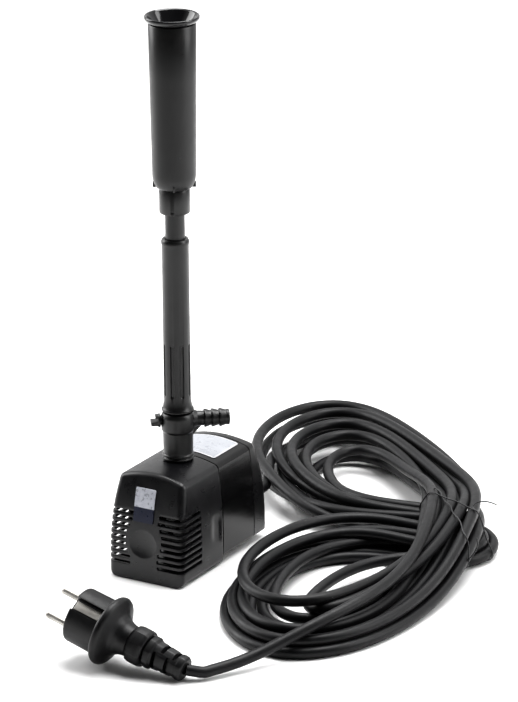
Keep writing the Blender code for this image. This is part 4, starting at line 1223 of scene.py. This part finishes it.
# ---------------------------------------------------------------- materials of the CAD nodes that stay
def finish_frame_nodes():
    finishes = {
        "base_foot": cap_black,
        "impeller_chamber": inner_grey,
        "chamber_seal": gasket,
        "outlet_seal": gasket,
        "rotor_shaft": ceramic,
        "front_bush": gasket,
        "rear_bush": gasket,
        "stator_core": iron,
        "coil_bobbin": inner_grey,
        "stator_winding": copper,
        "impeller": inner_grey,
        "rotor_magnet": magnet,
        "jet_tube": gloss_black,
    }
    for name, finish in finishes.items():
        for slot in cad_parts[name].material_slots:
            slot.material = finish


# ---------------------------------------------------------------- floor, light and camera
def build_stage():
    work = bmesh.new()
    bmesh.ops.create_grid(work, x_segments=8, y_segments=8, size=6.0)
    mesh = bpy.data.meshes.new("floor")
    work.to_mesh(mesh)
    work.free()
    mesh.materials.append(floor_finish())
    floor = bpy.data.objects.new("floor", mesh)
    floor.location = (0.0, 0.0, -0.0002)
    SCENE.collection.objects.link(floor)


def area_light(name, place, aim, size, power, colour=(1.0, 1.0, 1.0)):
    data = bpy.data.lights.new(name, "AREA")
    data.shape = "RECTANGLE"
    data.size, data.size_y = size
    data.energy = power
    data.color = colour
    made = bpy.data.objects.new(name, data)
    made.location = place
    made.rotation_euler = (Vector(aim) - Vector(place)).to_track_quat("-Z", "Y").to_euler()
    SCENE.collection.objects.link(made)
    return made


def build_light():
    """A white studio, brighter behind the object than towards the camera, with three soft boxes."""
    world = bpy.data.worlds.new("studio")
    SCENE.world = world
    world.use_nodes = True
    tree = world.node_tree
    background = tree.nodes["Background"]
    coords = tree.nodes.new("ShaderNodeTexCoord")
    split = tree.nodes.new("ShaderNodeSeparateXYZ")
    tree.links.new(coords.outputs["Generated"], split.inputs[0])
    azimuth = math.radians(CAMERA_AZIMUTH)
    towards = tree.nodes.new("ShaderNodeVectorMath")
    towards.operation = "DOT_PRODUCT"
    towards.inputs[1].default_value = (math.sin(azimuth), -math.cos(azimuth), 0.0)
    tree.links.new(coords.outputs["Generated"], towards.inputs[0])
    strength = remap(tree, towards.outputs["Value"], -0.30, 0.30, WORLD_BACK, WORLD_FRONT)
    tree.links.new(strength, background.inputs["Strength"])
    background.inputs["Color"].default_value = (1.0, 1.0, 1.0, 1.0)
    area_light("top_box", (0.15, 0.35, 1.6), (0.05, 0.0, 0.0), (1.4, 1.0), TOP_POWER)
    area_light("left_box", (-1.3, -0.1, 0.8), (0.0, 0.0, 0.15), (0.8, 1.2), SIDE_POWER)
    area_light("right_box", (1.5, 0.5, 0.9), (0.05, 0.0, 0.15), (0.8, 1.2), SIDE_POWER)


CAMERA_AZIMUTH = 30.468
CAMERA_ELEVATION = 19.236
CAMERA_ROLL = -0.4806
CAMERA_DISTANCE = 2.88548
CAMERA_TARGET = Vector((0.05902, -0.0055, 0.15712))
CAMERA_LENS = 225.64
WORLD_BACK = 0.95
WORLD_FRONT = 0.05
TOP_POWER = 34.0
SIDE_POWER = 15.0


def build_camera():
    azimuth, elevation, roll = (math.radians(v) for v in (CAMERA_AZIMUTH, CAMERA_ELEVATION, CAMERA_ROLL))
    level = math.cos(elevation)
    back = Vector((math.sin(azimuth) * level, -math.cos(azimuth) * level, math.sin(elevation)))
    right = Vector((math.cos(azimuth), math.sin(azimuth), 0.0))
    up = back.cross(right)
    turned_right = right * math.cos(roll) + up * math.sin(roll)
    turned_up = up * math.cos(roll) - right * math.sin(roll)
    data = bpy.data.cameras.new("camera")
    data.lens = CAMERA_LENS
    data.sensor_width = 36.0
    data.sensor_fit = "AUTO"
    data.clip_start = 0.05
    data.clip_end = 60.0
    camera = bpy.data.objects.new("camera", data)
    placed = Matrix((turned_right, turned_up, back)).transposed().to_4x4()
    placed.translation = CAMERA_TARGET + back * CAMERA_DISTANCE
    camera.matrix_world = placed
    SCENE.collection.objects.link(camera)
    SCENE.camera = camera


build_camera()
build_stage()
build_light()
build_cover()
build_housing()
build_rear_cap()
build_badge_and_label()
build_tee()
build_valve()
build_riser()
build_nozzle()
plug_pieces = build_plug()
gland = build_gland()
cord_route = settled_route()
ties = build_ties(cord_route)
build_cord(cord_route)
finish_frame_nodes()
SCENE.view_settings.view_transform = "Standard"
SCENE.view_settings.look = "Medium High Contrast"

bpy.context.view_layer.update()
